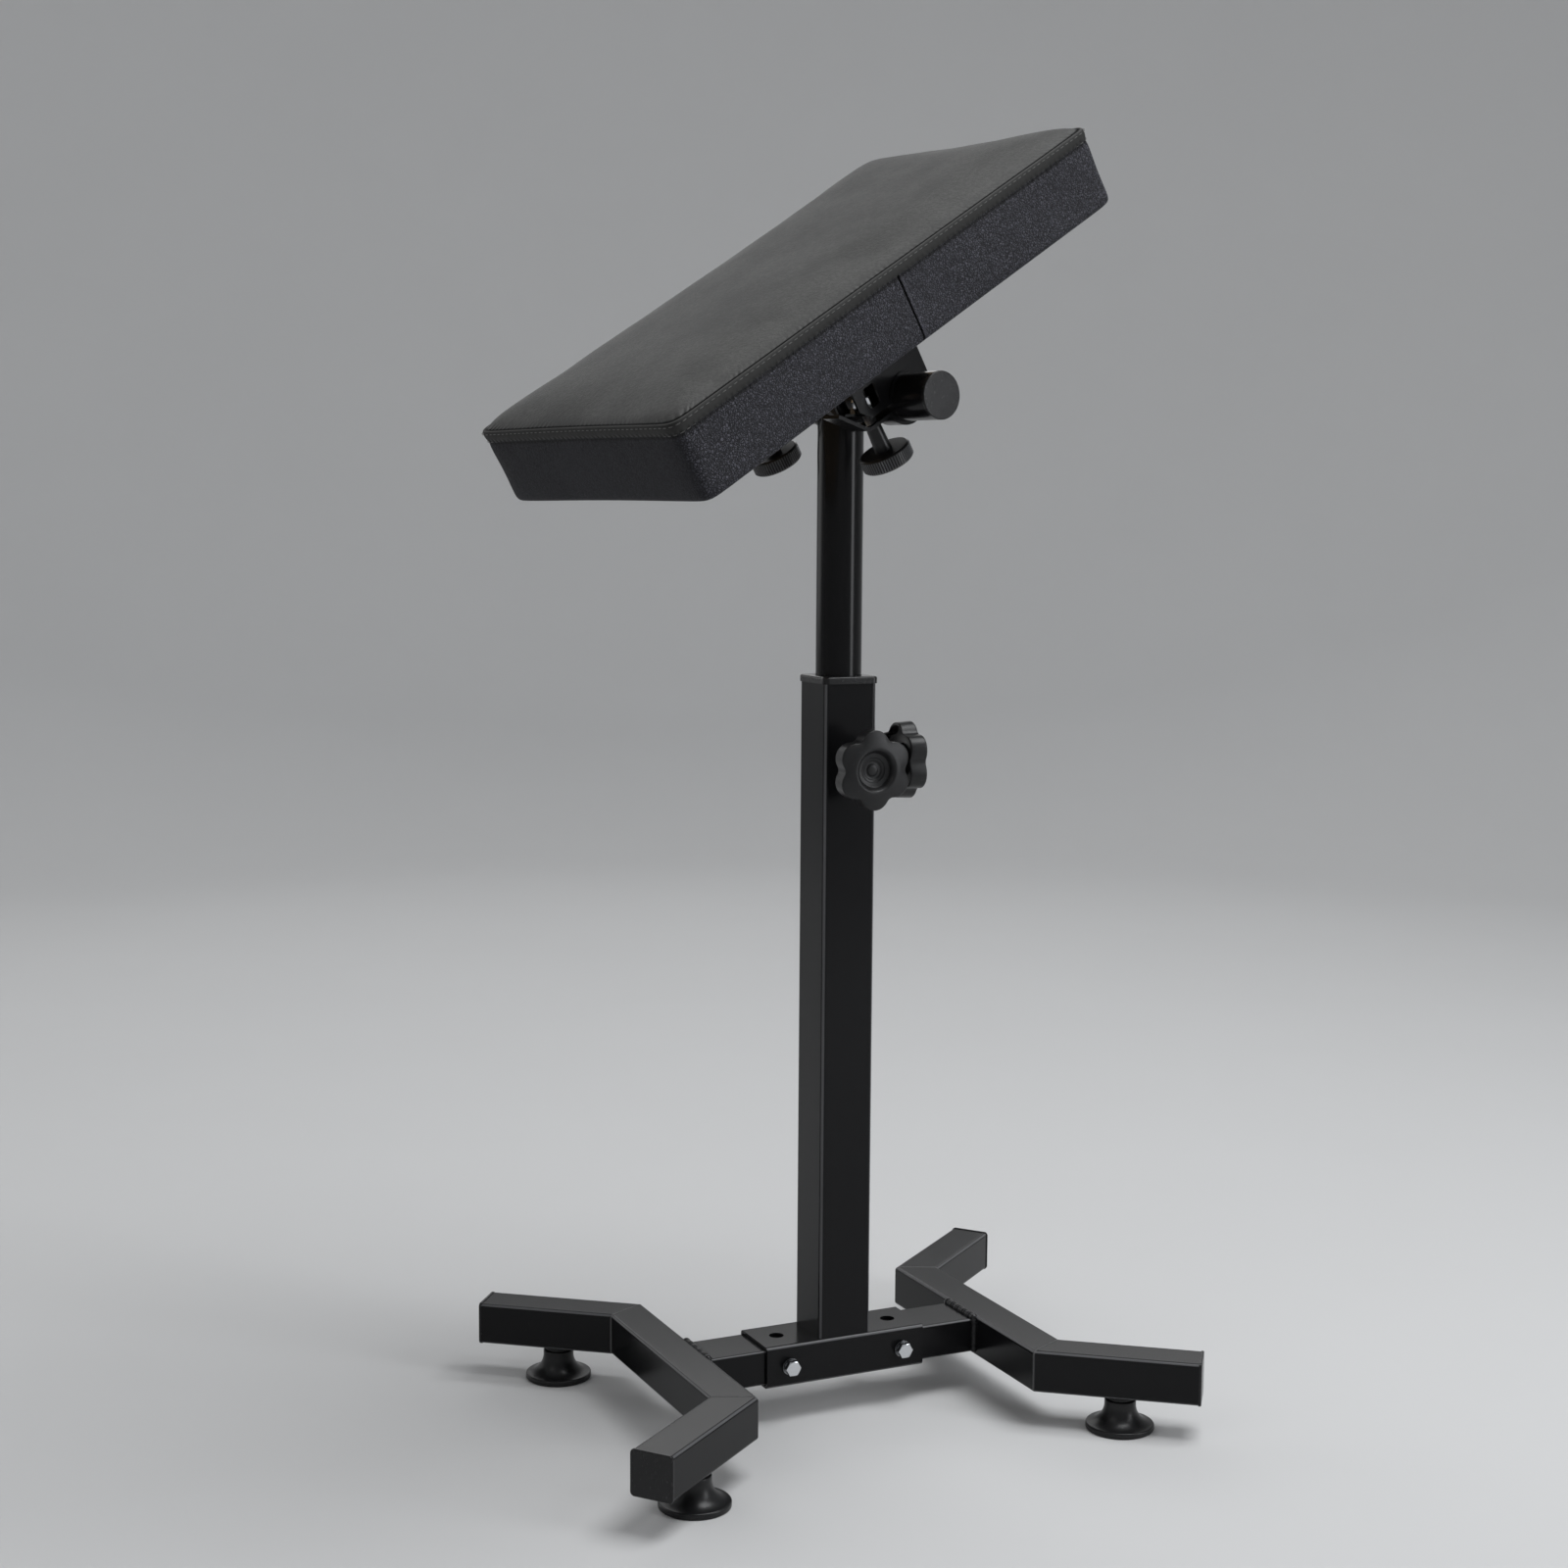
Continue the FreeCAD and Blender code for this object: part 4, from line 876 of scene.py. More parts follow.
def cushion_shell(settings):
    """The cover before it is swollen: a grid for the domed top and rings for its sides."""
    outline = Outline(settings)
    marks = profile_marks(settings)
    steps = side_profile(settings)
    sizes = pad_sizes()
    panels = ("top", "band", "boxing")
    columns, rows = outline.cells
    top = sizes["height"] - settings.crown
    shell = bmesh.new()
    run_layer = shell.loops.layers.uv.new("seam_run")
    held_layer = shell.verts.layers.float.new("held_still")
    border_inset = 14 * mm

    grid = {}
    for column in range(-columns, columns + 1):
        for row in range(-rows, rows + 1):
            share = max(abs(column) / columns, abs(row) / rows)
            spot = Vector((0, 0, 0))
            if share > 0:
                radius = outline.crown_radius(border_inset)
                spot = share * outline.point(column / share, row / share, border_inset, radius)
            spot.z = top + crown_height(outline, settings, spot) * settings.slack
            grid[column, row] = shell.verts.new(spot)

    def add_face(verts, runs, downs, panel):
        face = shell.faces.new(verts)
        face.smooth = True
        face.material_index = panels.index(panel)
        for loop, run, down in zip(face.loops, runs, downs):
            loop[run_layer].uv = (run, down)

    for column in range(-columns, columns):
        for row in range(-rows, rows):
            steps_round = ((0, 0), (1, 0), (1, 1), (0, 1))
            cell = [grid[column + across, row + along] for across, along in steps_round]
            add_face(cell, (0,) * 4, (-1,) * 4, "top")

    border = outline.border()
    runs = outline.runs()
    above = [grid[cell] for cell in border]
    down_above = -2.6 * mm
    for (inset, height, panel, held), down in zip(steps, marks["downs"]):
        ring = outline.ring(inset * mm, crown=panel == "top")
        below = []
        for spot in ring:
            vertex = shell.verts.new((spot.x, spot.y, height * mm))
            vertex[held_layer] = 1.0 if held else 0.0
            below.append(vertex)
        for index in range(len(border)):
            after = (index + 1) % len(border)
            verts = (above[index], below[index], below[after], above[after])
            add_face(verts, (runs[index], runs[index], runs[index + 1], runs[index + 1]),
                     (down_above, down, down, down_above), panel)
        above, down_above = below, down
    ceiling = above[0].co.z
    inner = [shell.verts.new((vertex.co.x * 0.5, vertex.co.y * 0.5, ceiling)) for vertex in above]
    centre = shell.verts.new((0, 0, ceiling))
    for vertex in inner + [centre]:
        vertex[held_layer] = 1.0
    for index in range(len(border)):
        after = (index + 1) % len(border)
        add_face((above[index], inner[index], inner[after], above[after]), (0,) * 4, (1,) * 4, "boxing")
        add_face((inner[index], centre, inner[after]), (0,) * 3, (1,) * 3, "boxing")
    bmesh.ops.recalc_face_normals(shell, faces=shell.faces)

    mesh = bpy.data.meshes.new("pad_cover")
    shell.to_mesh(mesh)
    shell.free()
    cover = bpy.data.objects.new("pad_cover", mesh)
    bpy.context.scene.collection.objects.link(cover)
    return cover


def soften(cover, settings):
    """Small dents and swells that a hand made foam pad has, strongest in the middle of a panel."""
    for vertex in cover.data.vertices:
        free = 1 - cover.data.attributes["held_still"].data[vertex.index].value
        spot = vertex.co
        wide, narrow = noise.noise(spot * 12), noise.noise(spot * 34)
        vertex.co = spot + vertex.normal * ((wide * 0.9 + narrow * 0.3) * settings.unevenness * free)


def swell(cover, settings):
    """Blows the cover out against its held seams with Cloth, and limits how far it moves."""
    start = [vertex.co.copy() for vertex in cover.data.vertices]
    held = cover.data.attributes["held_still"].data
    group = cover.vertex_groups.new(name="held_still_pins")
    group.add([index for index, value in enumerate(held) if value.value > 0.5], 1.0, "REPLACE")
    modifier = cover.modifiers.new("Swell", "CLOTH")
    cloth = modifier.settings
    cloth.quality = 5
    cloth.mass = 0.25
    cloth.tension_stiffness = 12
    cloth.compression_stiffness = 12
    cloth.shear_stiffness = 8
    cloth.bending_stiffness = 2.5
    cloth.shrink_min = -0.002
    cloth.use_pressure = True
    cloth.uniform_pressure_force = settings.pressure
    cloth.vertex_group_mass = group.name
    cloth.effector_weights.gravity = 0
    modifier.collision_settings.use_collision = False
    scene = bpy.context.scene
    last_frame = 20
    for frame_number in range(1, last_frame + 1):
        scene.frame_set(frame_number)
    select_only(cover)
    bpy.ops.object.modifier_apply(modifier=modifier.name)
    scene.frame_set(1)
    for vertex, before in zip(cover.data.vertices, start):
        move = vertex.co - before
        if move.length > settings.travel:
            vertex.co = before + move * (settings.travel / move.length)
    free = cover.vertex_groups.new(name="free_cover")
    free.add([index for index, value in enumerate(held) if value.value < 0.5], 1.0, "REPLACE")
    modified(cover, "SMOOTH", "Ease", factor=0.5, iterations=16, vertex_group=free.name)


class ARM_REST_OT_cushion(bpy.types.Operator):
    """Foam cushion in its leatherette cover, with a welt band between two seams"""
    bl_idname = "arm_rest.cushion"
    bl_label = "Cushion"

    def execute(self, context):
        settings = context.scene.arm_rest_cushion
        finishes = context.scene.arm_rest_finishes
        sizes = pad_sizes()
        cover = cushion_shell(settings)
        soften(cover, settings)
        swell(cover, settings)
        modified(cover, "SUBSURF", "Rounding", levels=1, render_levels=1)
        cover.data.transform(sizes["place"])
        cover.data.update()
        marks = profile_marks(settings)
        cover.data.materials.append(top_finish(finishes.leather_top, marks))
        cover.data.materials.append(band_finish(finishes.leather_top, marks))
        cover.data.materials.append(boxing_finish(finishes.leather_side, marks, sizes))
        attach(cover, "pad")
        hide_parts("pad_cushion")
        return {"FINISHED"}


def scattered(piece, places, name):
    """One mesh with a copy of the piece at each place. The piece itself is removed."""
    whole = bmesh.new()
    for place in places:
        mesh = piece.data.copy()
        mesh.transform(place)
        whole.from_mesh(mesh)
        bpy.data.meshes.remove(mesh)
    mesh = bpy.data.meshes.new(name)
    whole.to_mesh(mesh)
    whole.free()
    result = bpy.data.objects.new(name, mesh)
    bpy.context.scene.collection.objects.link(result)
    bpy.data.objects.remove(piece)
    return result


def places_round(outline, inset, height, pitch):
    """Places spaced round the outline, X along it and Z out of the pad's side."""
    points = outline.ring(inset)
    count = round(outline.runs()[-1] / pitch)
    runs = distances(points)
    places = []
    segment = 0
    for number in range(count):
        run = runs[-1] * number / count
        while runs[segment + 1] < run:
            segment += 1
        first, second = points[segment], points[(segment + 1) % len(points)]
        along = (second - first).normalized()
        spot = first.lerp(second, (run - runs[segment]) / (runs[segment + 1] - runs[segment]))
        spot.z = height
        places.append(place_from_axes(along, -up, along.cross(up), spot))
    return places


def thread_stitch(length, thickness):
    """One stitch: a short round of thread that dips at both ends."""
    clear_selection()
    bpy.ops.mesh.primitive_uv_sphere_add(segments=8, ring_count=5, radius=1)
    stitch = active_piece("stitch")
    edit_whole(stitch)
    bpy.ops.transform.resize(value=(thickness / 2, thickness / 2, length / 2))
    bpy.ops.transform.rotate(value=math.radians(90), orient_axis="Y", center_override=(0, 0, 0))
    bpy.ops.mesh.faces_shade_smooth()
    leave_edit()
    return stitch


class ARM_REST_OT_stitching(bpy.types.Operator):
    """Rows of thread along both seams of the cover"""
    bl_idname = "arm_rest.stitching"
    bl_label = "Stitching"

    def execute(self, context):
        settings = context.scene.arm_rest_cushion
        sizes = pad_sizes()
        outline = Outline(settings)
        pitch = stitch_pitch(settings)
        top = sizes["height"] - settings.crown
        low = top - settings.band_height
        thread = sewing_finish(context.scene.arm_rest_finishes.leather_top)
        rows = {"upper": (0.55 * mm, top - 1.9 * mm), "lower": (1.5 * mm, low - 0.35 * mm)}
        for row, (inset, height) in rows.items():
            places = [sizes["place"] @ place for place in places_round(outline, inset, height, pitch)]
            stitch = thread_stitch(0.7 * pitch, settings.thread)
            give(scattered(stitch, places, row + "_seam_thread"), thread, "pad")
        return {"FINISHED"}


class ARM_REST_OT_staples(bpy.types.Operator):
    """Staples that hold the cover's hem on the board"""
    bl_idname = "arm_rest.staples"
    bl_label = "Staples"

    def execute(self, context):
        settings = context.scene.arm_rest_cushion
        sizes = pad_sizes()
        outline = Outline(settings)
        wire = settings.staple_wire
        clear_selection()
        bpy.ops.mesh.primitive_cube_add(size=1)
        staple = active_piece("staple")
        edit_whole(staple)
        bpy.ops.transform.resize(value=(settings.staple_width, 1.5 * wire, wire))
        bpy.ops.mesh.bevel(offset=0.3 * wire, segments=2, affect="EDGES")
        leave_edit()
        smooth_rounds(staple, 40)
        flat = []
        inset, under = sizes["board_inset"] + 5 * mm, -0.9 * mm
        for place in places_round(outline, inset, under, settings.staple_pitch):
            along = place.to_3x3().col[0]
            flat.append(sizes["place"] @ place_from_axes(along, up.cross(along), up, place.translation))
        staples = scattered(staple, flat, "board_staples")
        give(staples, zinc_finish("staple_wire", context.scene.arm_rest_finishes.zinc), "pad")
        return {"FINISHED"}


# Turned pieces

def arc_through(first, middle, last, steps):
    """Points of the arc through three points of an outline."""
    (ax, ay), (bx, by), (cx, cy) = first, middle, last
    spread = 2 * (ax * (by - cy) + bx * (cy - ay) + cx * (ay - by))
    a2, b2, c2 = ax * ax + ay * ay, bx * bx + by * by, cx * cx + cy * cy
    centre_x = (a2 * (by - cy) + b2 * (cy - ay) + c2 * (ay - by)) / spread
    centre_y = (a2 * (cx - bx) + b2 * (ax - cx) + c2 * (bx - ax)) / spread
    radius = math.hypot(ax - centre_x, ay - centre_y)
    start = math.atan2(ay - centre_y, ax - centre_x)
    sweep = math.atan2(cy - centre_y, cx - centre_x) - start
    sweep = (sweep + math.pi) % (2 * math.pi) - math.pi
    return [(centre_x + radius * math.cos(start + sweep * step / steps),
             centre_y + radius * math.sin(start + sweep * step / steps)) for step in range(steps + 1)]


class ARM_REST_OT_glides(bpy.types.Operator):
    """Bell shaped plastic glides on the four levelling screws"""
    bl_idname = "arm_rest.glides"
    bl_label = "Glides"

    def execute(self, context):
        low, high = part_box("front_left_foot_glide")
        stud_low, stud_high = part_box("front_left_foot_stud")
        rim = (high.x - low.x) / 2
        top = high.z
        bore = (stud_high.x - stud_low.x) / 2 + 0.1 * mm
        neck = 0.46 * rim
        edge = 1.2 * mm
        rim_top = 4.4 * mm
        neck_top = top - 3.6 * mm
        collar = 9.25 * mm
        chamfer = 0.5 * mm
        bore_depth = 12 * mm
        waist = ((rim + neck) / 2 - 1.8 * mm, rim_top + 3.2 * mm)
        outline = [(rim - 3 * edge, 0.4 * mm), (rim - 2.4 * edge, 0)]
        outline += arc_outline((rim - edge, edge), edge, -90, 0, 4)
        outline += arc_outline((rim - edge, rim_top - edge), edge, 0, 80, 4)
        outline += arc_through((rim - edge, rim_top), waist, (neck, top - 8 * mm), 14)
        outline += [(neck, neck_top - 2.5 * mm)]
        outline += arc_outline((neck - edge, neck_top - edge), edge, 0, 90, 4)
        outline += [(collar, neck_top - 0.2 * mm), (collar, top - chamfer), (collar - chamfer, top)]
        outline += [(bore + 0.6 * mm, top), (bore, top - chamfer), (bore, top - bore_depth)]
        glide = turned_piece("glide", outline, 96)
        smooth_rounds(glide, 50)
        colour = context.scene.arm_rest_finishes.plastic
        finish = plastic_finish("glide_plastic", colour, 0.9 * mm, 0.05 * mm, 0.34)
        for corner in corner_names:
            node_low, node_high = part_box(corner + "_foot_glide")
            middle = (node_low + node_high) / 2
            middle.z = 0
            foot = copied(glide, corner + "_glide", Matrix.Translation(middle))
            give(foot, finish, corner + "_foot")
            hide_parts(corner + "_foot_glide")
        bpy.data.objects.remove(glide)
        return {"FINISHED"}


def lobed_radius(angle, outer, lobes, lobe_radius, hollow_radius):
    """Radius of the lobed outline at an angle: lobes and hollows are arcs that run into each other."""
    step = math.pi / lobes
    turn = abs((angle + step) % (2 * step) - step)
    lobe_centre = outer - lobe_radius
    both = lobe_radius + hollow_radius
    half_chord = lobe_centre * math.cos(step)
    hollow_centre = half_chord + math.sqrt(half_chord ** 2 - lobe_centre ** 2 + both ** 2)
    on_lobe = lobe_centre * math.cos(turn) + math.sqrt(
        max(lobe_radius ** 2 - (lobe_centre * math.sin(turn)) ** 2, 0))
    away = step - turn
    on_hollow = hollow_centre * math.cos(away) - math.sqrt(
        max(hollow_radius ** 2 - (hollow_centre * math.sin(away)) ** 2, 0))
    meet = Vector((lobe_centre, 0)).lerp(
        Vector((hollow_centre * math.cos(step), hollow_centre * math.sin(step))), lobe_radius / both)
    return on_lobe if turn < math.atan2(meet.y, meet.x) else on_hollow


class ARM_REST_OT_lobed_knobs(bpy.types.Operator):
    """Six lobed clamping knobs on the column's front and side"""
    bl_idname = "arm_rest.lobed_knobs"
    bl_label = "Lobed Knobs"

    def execute(self, context):
        settings = context.scene.arm_rest_hardware
        low, high = local_bounds("front_clamp_knob", clamp_place("front"))
        # Heights of the section in millimetres: hub's end, back of the lobes, their rim and the top.
        base, top = low.z / mm, high.z / mm
        rim = top - 2.0
        back = rim - 12.5
        section = [
            (4.3, base + 4), (4.3, base + 0.4), (4.8, base), (9.0, base), (9.4, base + 0.15),
            (9.6, base + 0.6), (10.6, base + 8), (11.5, back + 0.5), (11.8, back + 4.8),
            (12.3, back + 6.0), (13.4, back + 6.5), (20.0, back + 6.6), (23.0, back + 6.4),
            (23.9, back + 5.7), (24.3, back + 4.2), (24.7, back + 0.7),
            (25.1, back + 0.2), (25.6, back), (26.3, back + 0.1), (26.7, back + 0.5), (26.85, back + 1.2),
            (27.45, rim - 1.5), (27.5, rim - 1.0), (27.4, rim - 0.5), (27.1, rim - 0.15), (26.6, rim),
            (25.0, rim + 0.3), (23.0, rim + 0.65), (21.0, rim + 1.05), (19.0, rim + 1.45),
            (17.4, rim + 1.75),
            (16.0, top - 0.05), (15.0, top), (14.4, top - 0.2), (13.9, top - 0.6), (13.1, top - 1.9),
            (12.5, top - 2.8), (12.2, top - 3.4), (12.0, top - 4.4), (11.6, top - 4.9), (10.8, top - 5.1),
            (9.2, top - 5.2), (8.8, top - 5.35), (8.6, top - 5.8), (8.2, top - 6.1), (7.0, top - 6.15),
            (6.7, top - 6.3), (6.5, top - 6.7), (6.1, top - 6.95), (4.4, top - 7.0), (4.1, top - 6.85),
            (3.9, top - 6.5), (3.5, top - 6.3), (1.5, top - 6.2),
        ]
        knob = turned_piece("lobed_knob", [(radius * mm, height * mm) for radius, height in section], 144)
        outer = settings.knob_radius
        lobes = 6
        # The lobes start outside the dish on the face, and outside the hub on the back.
        dish, hub = 17 * mm, 12.5 * mm
        for vertex in knob.data.vertices:
            radius = math.hypot(vertex.co.x, vertex.co.y)
            if radius > dish or (vertex.co.z < rim * mm and radius > hub):
                angle = math.atan2(vertex.co.y, vertex.co.x) - settings.knob_turn
                lobed = lobed_radius(angle, outer, lobes, settings.knob_lobe, settings.knob_hollow)
                start = dish if vertex.co.z > rim * mm - 2 * mm else hub
                share = min(max((radius - start) / (outer - start), 0), 1) ** 1.3
                scale = 1 + (lobed / outer - 1) * share
                vertex.co.x *= scale
                vertex.co.y *= scale
        smooth_rounds(knob, 42)
        finish = plastic_finish("knob_plastic", context.scene.arm_rest_finishes.plastic,
                                0.8 * mm, 0.09 * mm, 0.36)
        for name in ("front", "side"):
            piece = copied(knob, name + "_lobed_knob", clamp_place(name))
            give(piece, finish, name + "_clamp_grip")
            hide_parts(name + "_clamp_knob")
        bpy.data.objects.remove(knob)
        return {"FINISHED"}


def weld_bead(length, radius, ripple, pitch):
    """A straight bead laid by hand: overlapping ripples and rounded ends."""
    outline = []
    rings = 5
    bulge = 1.08 * radius
    for number in range(1, rings + 1):
        angle = math.radians(90 / rings * number)
        outline.append((bulge * math.sin(angle), -radius * math.cos(angle)))
    steps = rings * max(round(length / pitch), 2)
    for number in range(1, steps):
        phase = (number / rings) % 1
        sway = 0.05 * math.sin(number * 0.9)
        outline.append((radius * (1 + sway) + ripple * (phase ** 1.5 - 0.4), length * number / steps))
    for number in range(rings):
        angle = math.radians(90 / rings * number)
        outline.append((bulge * math.cos(angle) + 0.01 * mm, length + radius * math.sin(angle)))
    return turned_piece("bead", outline, 28)


class ARM_REST_OT_welds(bpy.types.Operator):
    """Weld beads round the stubs, with the ripples of a hand laid weld"""
    bl_idname = "arm_rest.welds"
    bl_label = "Weld Beads"

    def execute(self, context):
        settings = context.scene.arm_rest_hardware
        radius = settings.bead_radius
        beads = []
        for name, side in (("left", -1), ("right", 1)):
            low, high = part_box(name + "_stub_tube")
            stub_face = high.x if side > 0 else low.x
            corners = ((low.y, low.z + 2 * mm), (high.y, low.z + 2 * mm))
            width = high.y - low.y - 2 * mm
            height = high.z - low.z - 4 * mm
            across = place_from_axes(up, Vector((1, 0, 0)), Vector((0, 1, 0)),
                                     Vector((stub_face, -width / 2, high.z + 0.3 * mm)))
            runs = [(width, radius, across)]
            runs += [(height, 0.85 * radius, Matrix.Translation((stub_face, y, z))) for y, z in corners]
            for length, bead_radius, place in runs:
                bead = weld_bead(length, bead_radius, settings.bead_ripple, settings.bead_pitch)
                bead.data.transform(place)
                beads.append(bead)
        welds = join(beads, "stub_weld_beads")
        outward_normals(welds)
        smooth_rounds(welds, 80)
        give(welds, weld_finish(context.scene.arm_rest_finishes.enamel), "base")
        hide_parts("stub_welds")
        return {"FINISHED"}


# Finishes of the pieces that come from the frame

def paint(finish, *names):
    for name in names:
        materials = nodes[name].data.materials
        materials.clear()
        materials.append(finish)


class ARM_REST_OT_finishes(bpy.types.Operator):
    """Enamel, plastic, zinc and wood on the pieces that keep their own shape"""
    bl_idname = "arm_rest.finishes"
    bl_label = "Finishes"

    def execute(self, context):
        colours = context.scene.arm_rest_finishes
        hardware = context.scene.arm_rest_hardware
        enamel = enamel_finish("black_enamel", colours.enamel)
        upright = enamel_finish("column_enamel", colours.enamel, square="upright")
        lying = enamel_finish("frame_tube_enamel", colours.enamel, square="lying")
        mitred = enamel_finish("mitred_tube_enamel", colours.enamel, mitre_plane(), "lying")
        plastic = plastic_finish("moulded_plastic", colours.plastic, 0.7 * mm, 0.03 * mm, 0.26)
        zinc = zinc_finish("zinc_plate", colours.zinc)
        # Painted shade: the washers get the same zinc at about a third of its colour, as they sit half
        # hidden behind the bolt heads.
        shaded_zinc = zinc_finish("shaded_zinc_plate", scaled(colours.zinc, 0.35))
        paint(enamel, "post_tube", "t_bar_tube", "front_bar_bracket", "rear_bar_bracket", "front_bar_jaw",
              "rear_bar_jaw")
        paint(lying, "base_sleeve", "left_stub_tube", "right_stub_tube")
        paint(upright, "column_tube")
        paint(mitred, "left_cross_tube", "right_cross_tube")
        paint(plastic, "column_collar", "leg_end_caps", "guide_bush", "post_plug", "t_bar_plug_front",
              "t_bar_plug_rear")
        paint(zinc, "frame_bolts", "frame_nuts", "foot_nuts", "column_nuts", "post_washer", "post_screw",
              "board_tee_nuts", "bracket_screws", "front_grip_nut", "rear_grip_nut")
        paint(shaded_zinc, "frame_washers", "frame_spring_washers")
        paint(weld_finish(colours.enamel), "t_bar_weld")
        paint(plywood_finish(colours.plywood, pad_place()), "pad_board")

        def paint_thread(name, place):
            finish = thread_finish(name + "_thread", colours.zinc, place, hardware.thread)
            paint(finish, name + "_stud")

        for corner in corner_names:
            paint(mitred, corner + "_leg_tube")
            low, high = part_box(corner + "_foot_stud")
            paint_thread(corner + "_foot", Matrix.Translation((low + high) / 2))
        for name in ("front", "side"):
            paint_thread(name + "_clamp", clamp_place(name))
        for name in ("front", "rear"):
            place = pad_place()
            place.translation = Vector(joints[name + "_grip_turn"]["pos_m"])
            paint_thread(name + "_grip", place)
            ribs = plastic_finish(name + "_grip_plastic", colours.plastic, 0.8 * mm, 0.04 * mm, 0.3, place)
            paint(ribs, name + "_grip_knob")
        return {"FINISHED"}


def mitre_plane():
    """The middle of the mitre between a crossbar and its leg, and the point that the leg runs to."""
    low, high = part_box("right_cross_tube")
    foot_low, foot_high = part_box("rear_right_foot_stud")
    foot = (foot_low + foot_high) / 2
    foot.z = 0
    half_width = (high.x - low.x) / 2
    corner = Vector(((low.x + high.x) / 2, high.y, 0))
    # The leg's direction depends on the corner, so each pass brings both closer to the true mitre.
    for step in range(30):
        leg_angle = math.atan2(foot.y - corner.y, foot.x - corner.x)
        corner.y = high.y - half_width * math.tan((math.pi / 2 - leg_angle) / 2)
    return corner, foot


# Studio

def area_lamp(name, place, target, size, power, colour):
    light = bpy.data.lights.new(name, "AREA")
    light.shape = "RECTANGLE"
    light.size, light.size_y = size
    light.energy = power
    light.color = colour
    lamp = bpy.data.objects.new(name, light)
    bpy.context.scene.collection.objects.link(lamp)
    lamp.location = place
    lamp.rotation_euler = (Vector(target) - Vector(place)).to_track_quat("-Z", "Y").to_euler()
    lamp.visible_camera = False
    return lamp


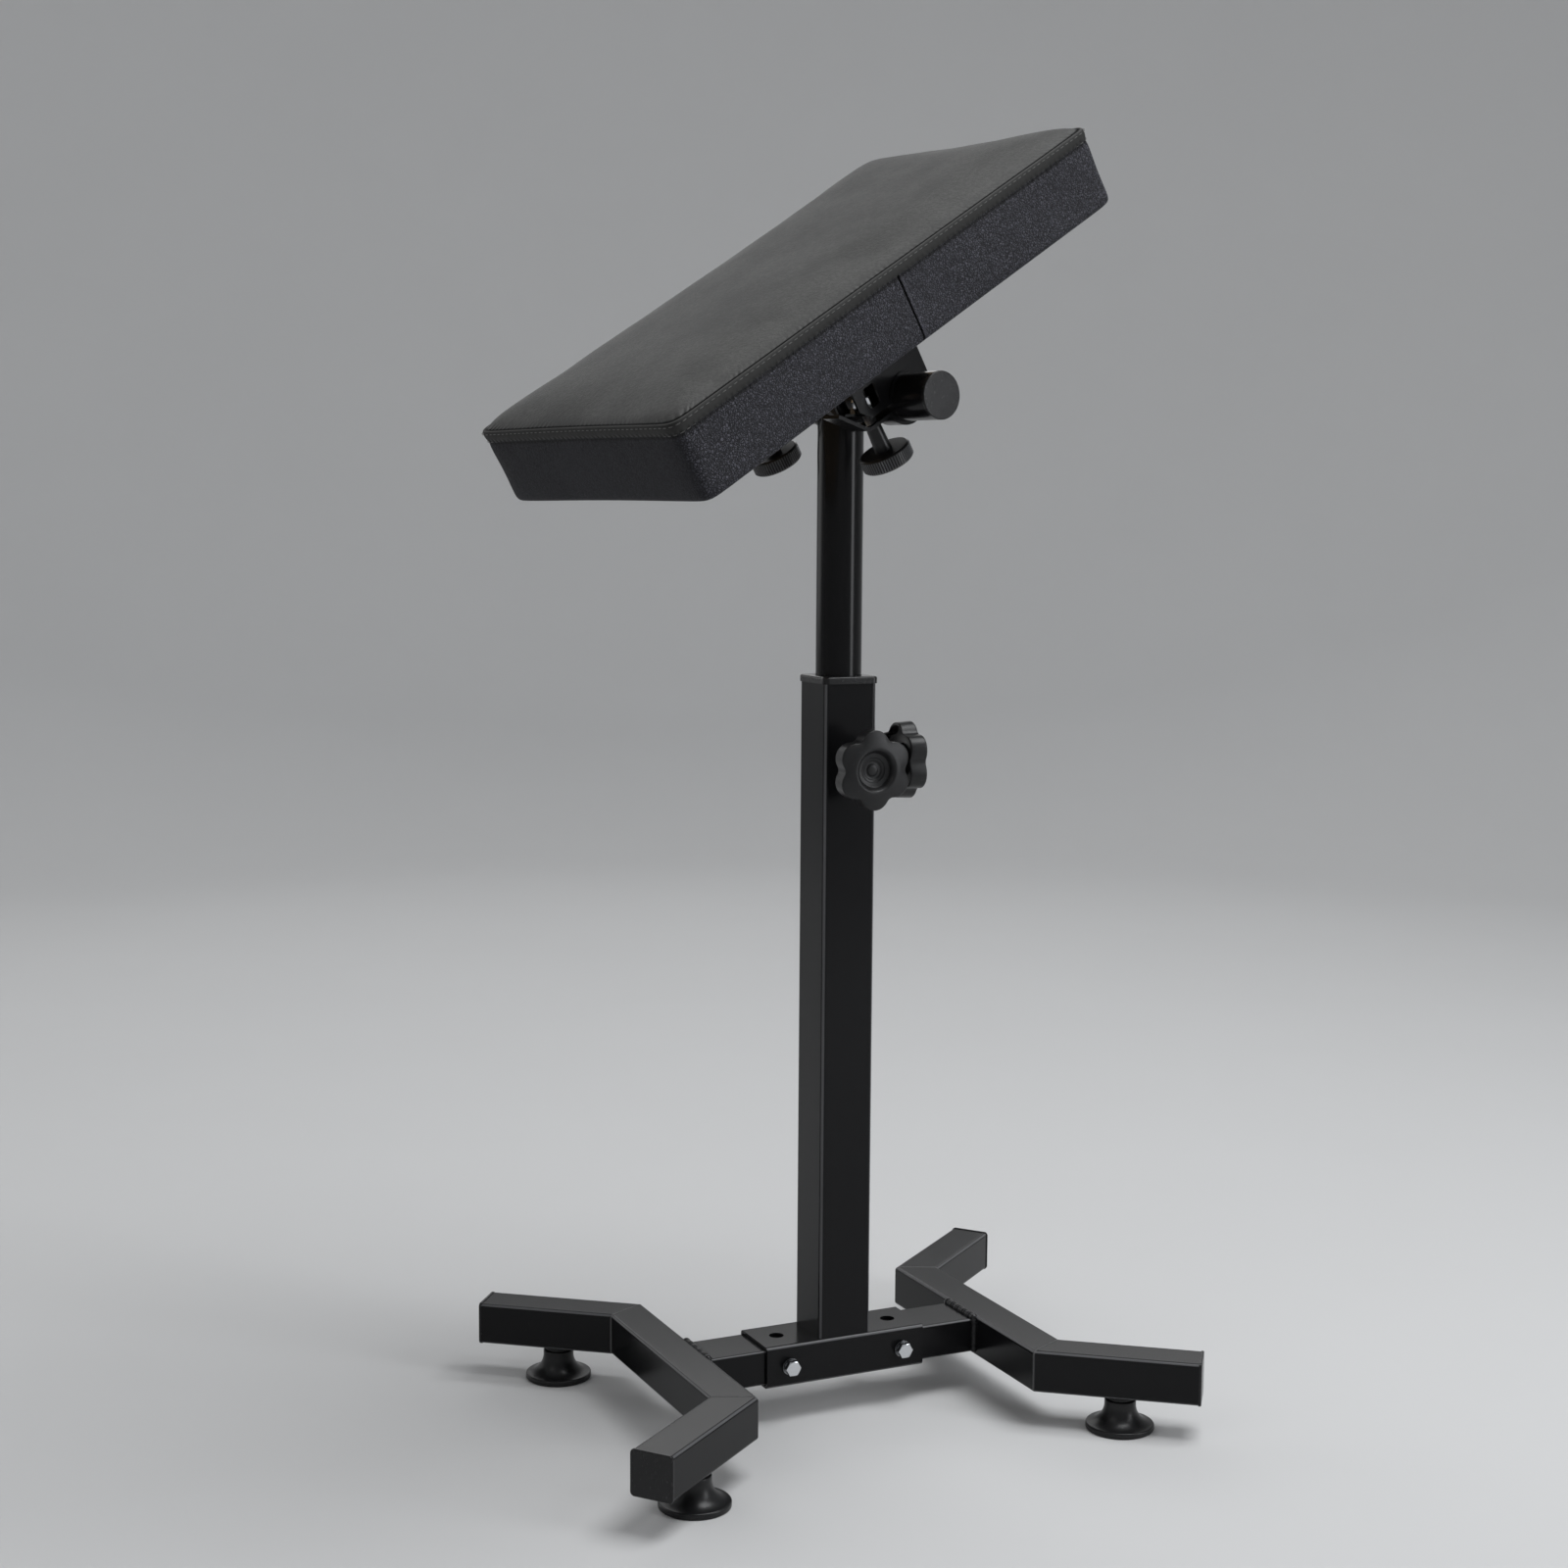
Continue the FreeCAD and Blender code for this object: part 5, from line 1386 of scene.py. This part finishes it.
class ARM_REST_OT_studio(bpy.types.Operator):
    """Pale floor and cove, soft lamps, sky and the camera"""
    bl_idname = "arm_rest.studio"
    bl_label = "Studio"

    def execute(self, context):
        scene = context.scene
        settings = scene.arm_rest_studio
        floor_radius, cove_radius, wall_top = 2.6, 1.2, 4.2
        outline = [(floor_radius * share, 0) for share in (0.25, 0.6, 1.0)]
        outline += [(floor_radius + x, cove_radius + z)
                    for x, z in arc_outline((0, 0), cove_radius, -84, 0, 14)]
        outline.append((floor_radius + cove_radius, wall_top))
        backdrop = turned_piece("backdrop", outline, 128)
        edit_whole(backdrop)
        bpy.ops.mesh.select_all(action="DESELECT")
        leave_edit()
        for face in backdrop.data.polygons:
            face.select = face.center.z > wall_top - 1 * mm
        bpy.ops.object.mode_set(mode="EDIT")
        bpy.ops.mesh.delete(type="FACE")
        bpy.ops.mesh.select_all(action="SELECT")
        bpy.ops.mesh.flip_normals()
        leave_edit()
        smooth_rounds(backdrop, 40)
        paper = Finish("backdrop_paper")
        mottle = paper.noise(paper.place(), 3.5, 4)
        backdrop.data.materials.append(paper.surface(
            Base_Color=paper.mix(mottle, scaled(settings.floor_colour, 0.97), settings.floor_colour),
            Roughness=0.75))

        world = bpy.data.worlds.new("studio_sky")
        world.use_nodes = True
        sky = world.node_tree.nodes["Background"]
        sky.inputs["Color"].default_value = (0.93, 0.96, 1.0, 1)
        sky.inputs["Strength"].default_value = settings.world_strength
        scene.world = world

        middle = (0, 0, 0.5)
        white, warm, cool, cooler = (1, 1, 1), (1, 0.985, 0.96), (0.97, 0.985, 1), (0.95, 0.97, 1)
        area_lamp("key_lamp", (-1.9, -0.6, 2.0), middle, (1.2, 1.2), settings.key_power, warm)
        area_lamp("strip_lamp", (1.38, -1.585, 1.05), middle, (0.55, 1.6), settings.strip_power, cooler)
        area_lamp("back_lamp", (0.9, 2.5, 1.6), middle, (2.4, 1.0), settings.back_power, white)
        area_lamp("side_lamp", (-1.6, 2.1, 1.15), middle, (1.3, 1.5), settings.side_power, white)
        area_lamp("top_lamp", (0.8, -0.5, 3.0), middle, (1.7, 1.7), settings.top_power, cool)

        data = bpy.data.cameras.new("photo_camera")
        data.sensor_fit = "HORIZONTAL"
        data.sensor_width = 36
        data.lens = settings.lens
        data.clip_start = 0.05
        data.clip_end = 50
        camera = bpy.data.objects.new("photo_camera", data)
        scene.collection.objects.link(camera)
        turn = (Matrix.Rotation(settings.camera_heading, 4, "Z")
                @ Matrix.Rotation(settings.camera_pitch, 4, "X")
                @ Matrix.Rotation(settings.camera_roll, 4, "Y")
                @ Matrix.Rotation(math.radians(90), 4, "X"))
        camera.matrix_world = Matrix.Translation(Vector(settings.camera_place)) @ turn
        scene.camera = camera
        scene.view_settings.view_transform = "Standard"
        return {"FINISHED"}


class ARM_REST_PT_panel(bpy.types.Panel):
    """Lists the arm rest's pieces and the studio"""
    bl_label = "Arm Rest"
    bl_space_type = "VIEW_3D"
    bl_region_type = "UI"
    bl_category = "Arm Rest"

    def draw(self, context):
        for operator in operators:
            self.layout.operator(operator.bl_idname)
        for group in (context.scene.arm_rest_cushion, context.scene.arm_rest_hardware,
                      context.scene.arm_rest_finishes, context.scene.arm_rest_studio):
            box = self.layout.box()
            for name in group.__annotations__:
                box.prop(group, name)


setting_groups = {
    "arm_rest_cushion": CushionSettings, "arm_rest_hardware": HardwareSettings,
    "arm_rest_finishes": FinishSettings, "arm_rest_studio": StudioSettings,
}
operators = (
    ARM_REST_OT_studio, ARM_REST_OT_finishes, ARM_REST_OT_cushion, ARM_REST_OT_stitching,
    ARM_REST_OT_staples, ARM_REST_OT_lobed_knobs, ARM_REST_OT_glides, ARM_REST_OT_welds,
)
classes = tuple(setting_groups.values()) + operators + (ARM_REST_PT_panel,)


def register():
    for each in classes:
        bpy.utils.register_class(each)
    for name, group in setting_groups.items():
        setattr(bpy.types.Scene, name, PointerProperty(type=group))


def unregister():
    for name in setting_groups:
        delattr(bpy.types.Scene, name)
    for each in reversed(classes):
        bpy.utils.unregister_class(each)


def main():
    register()
    for operator in operators:
        group, name = operator.bl_idname.split(".")
        result = getattr(getattr(bpy.ops, group), name)()
        if result != {"FINISHED"}:
            raise RuntimeError(operator.bl_label + " didn't finish")


if __name__ == "__main__":
    main()
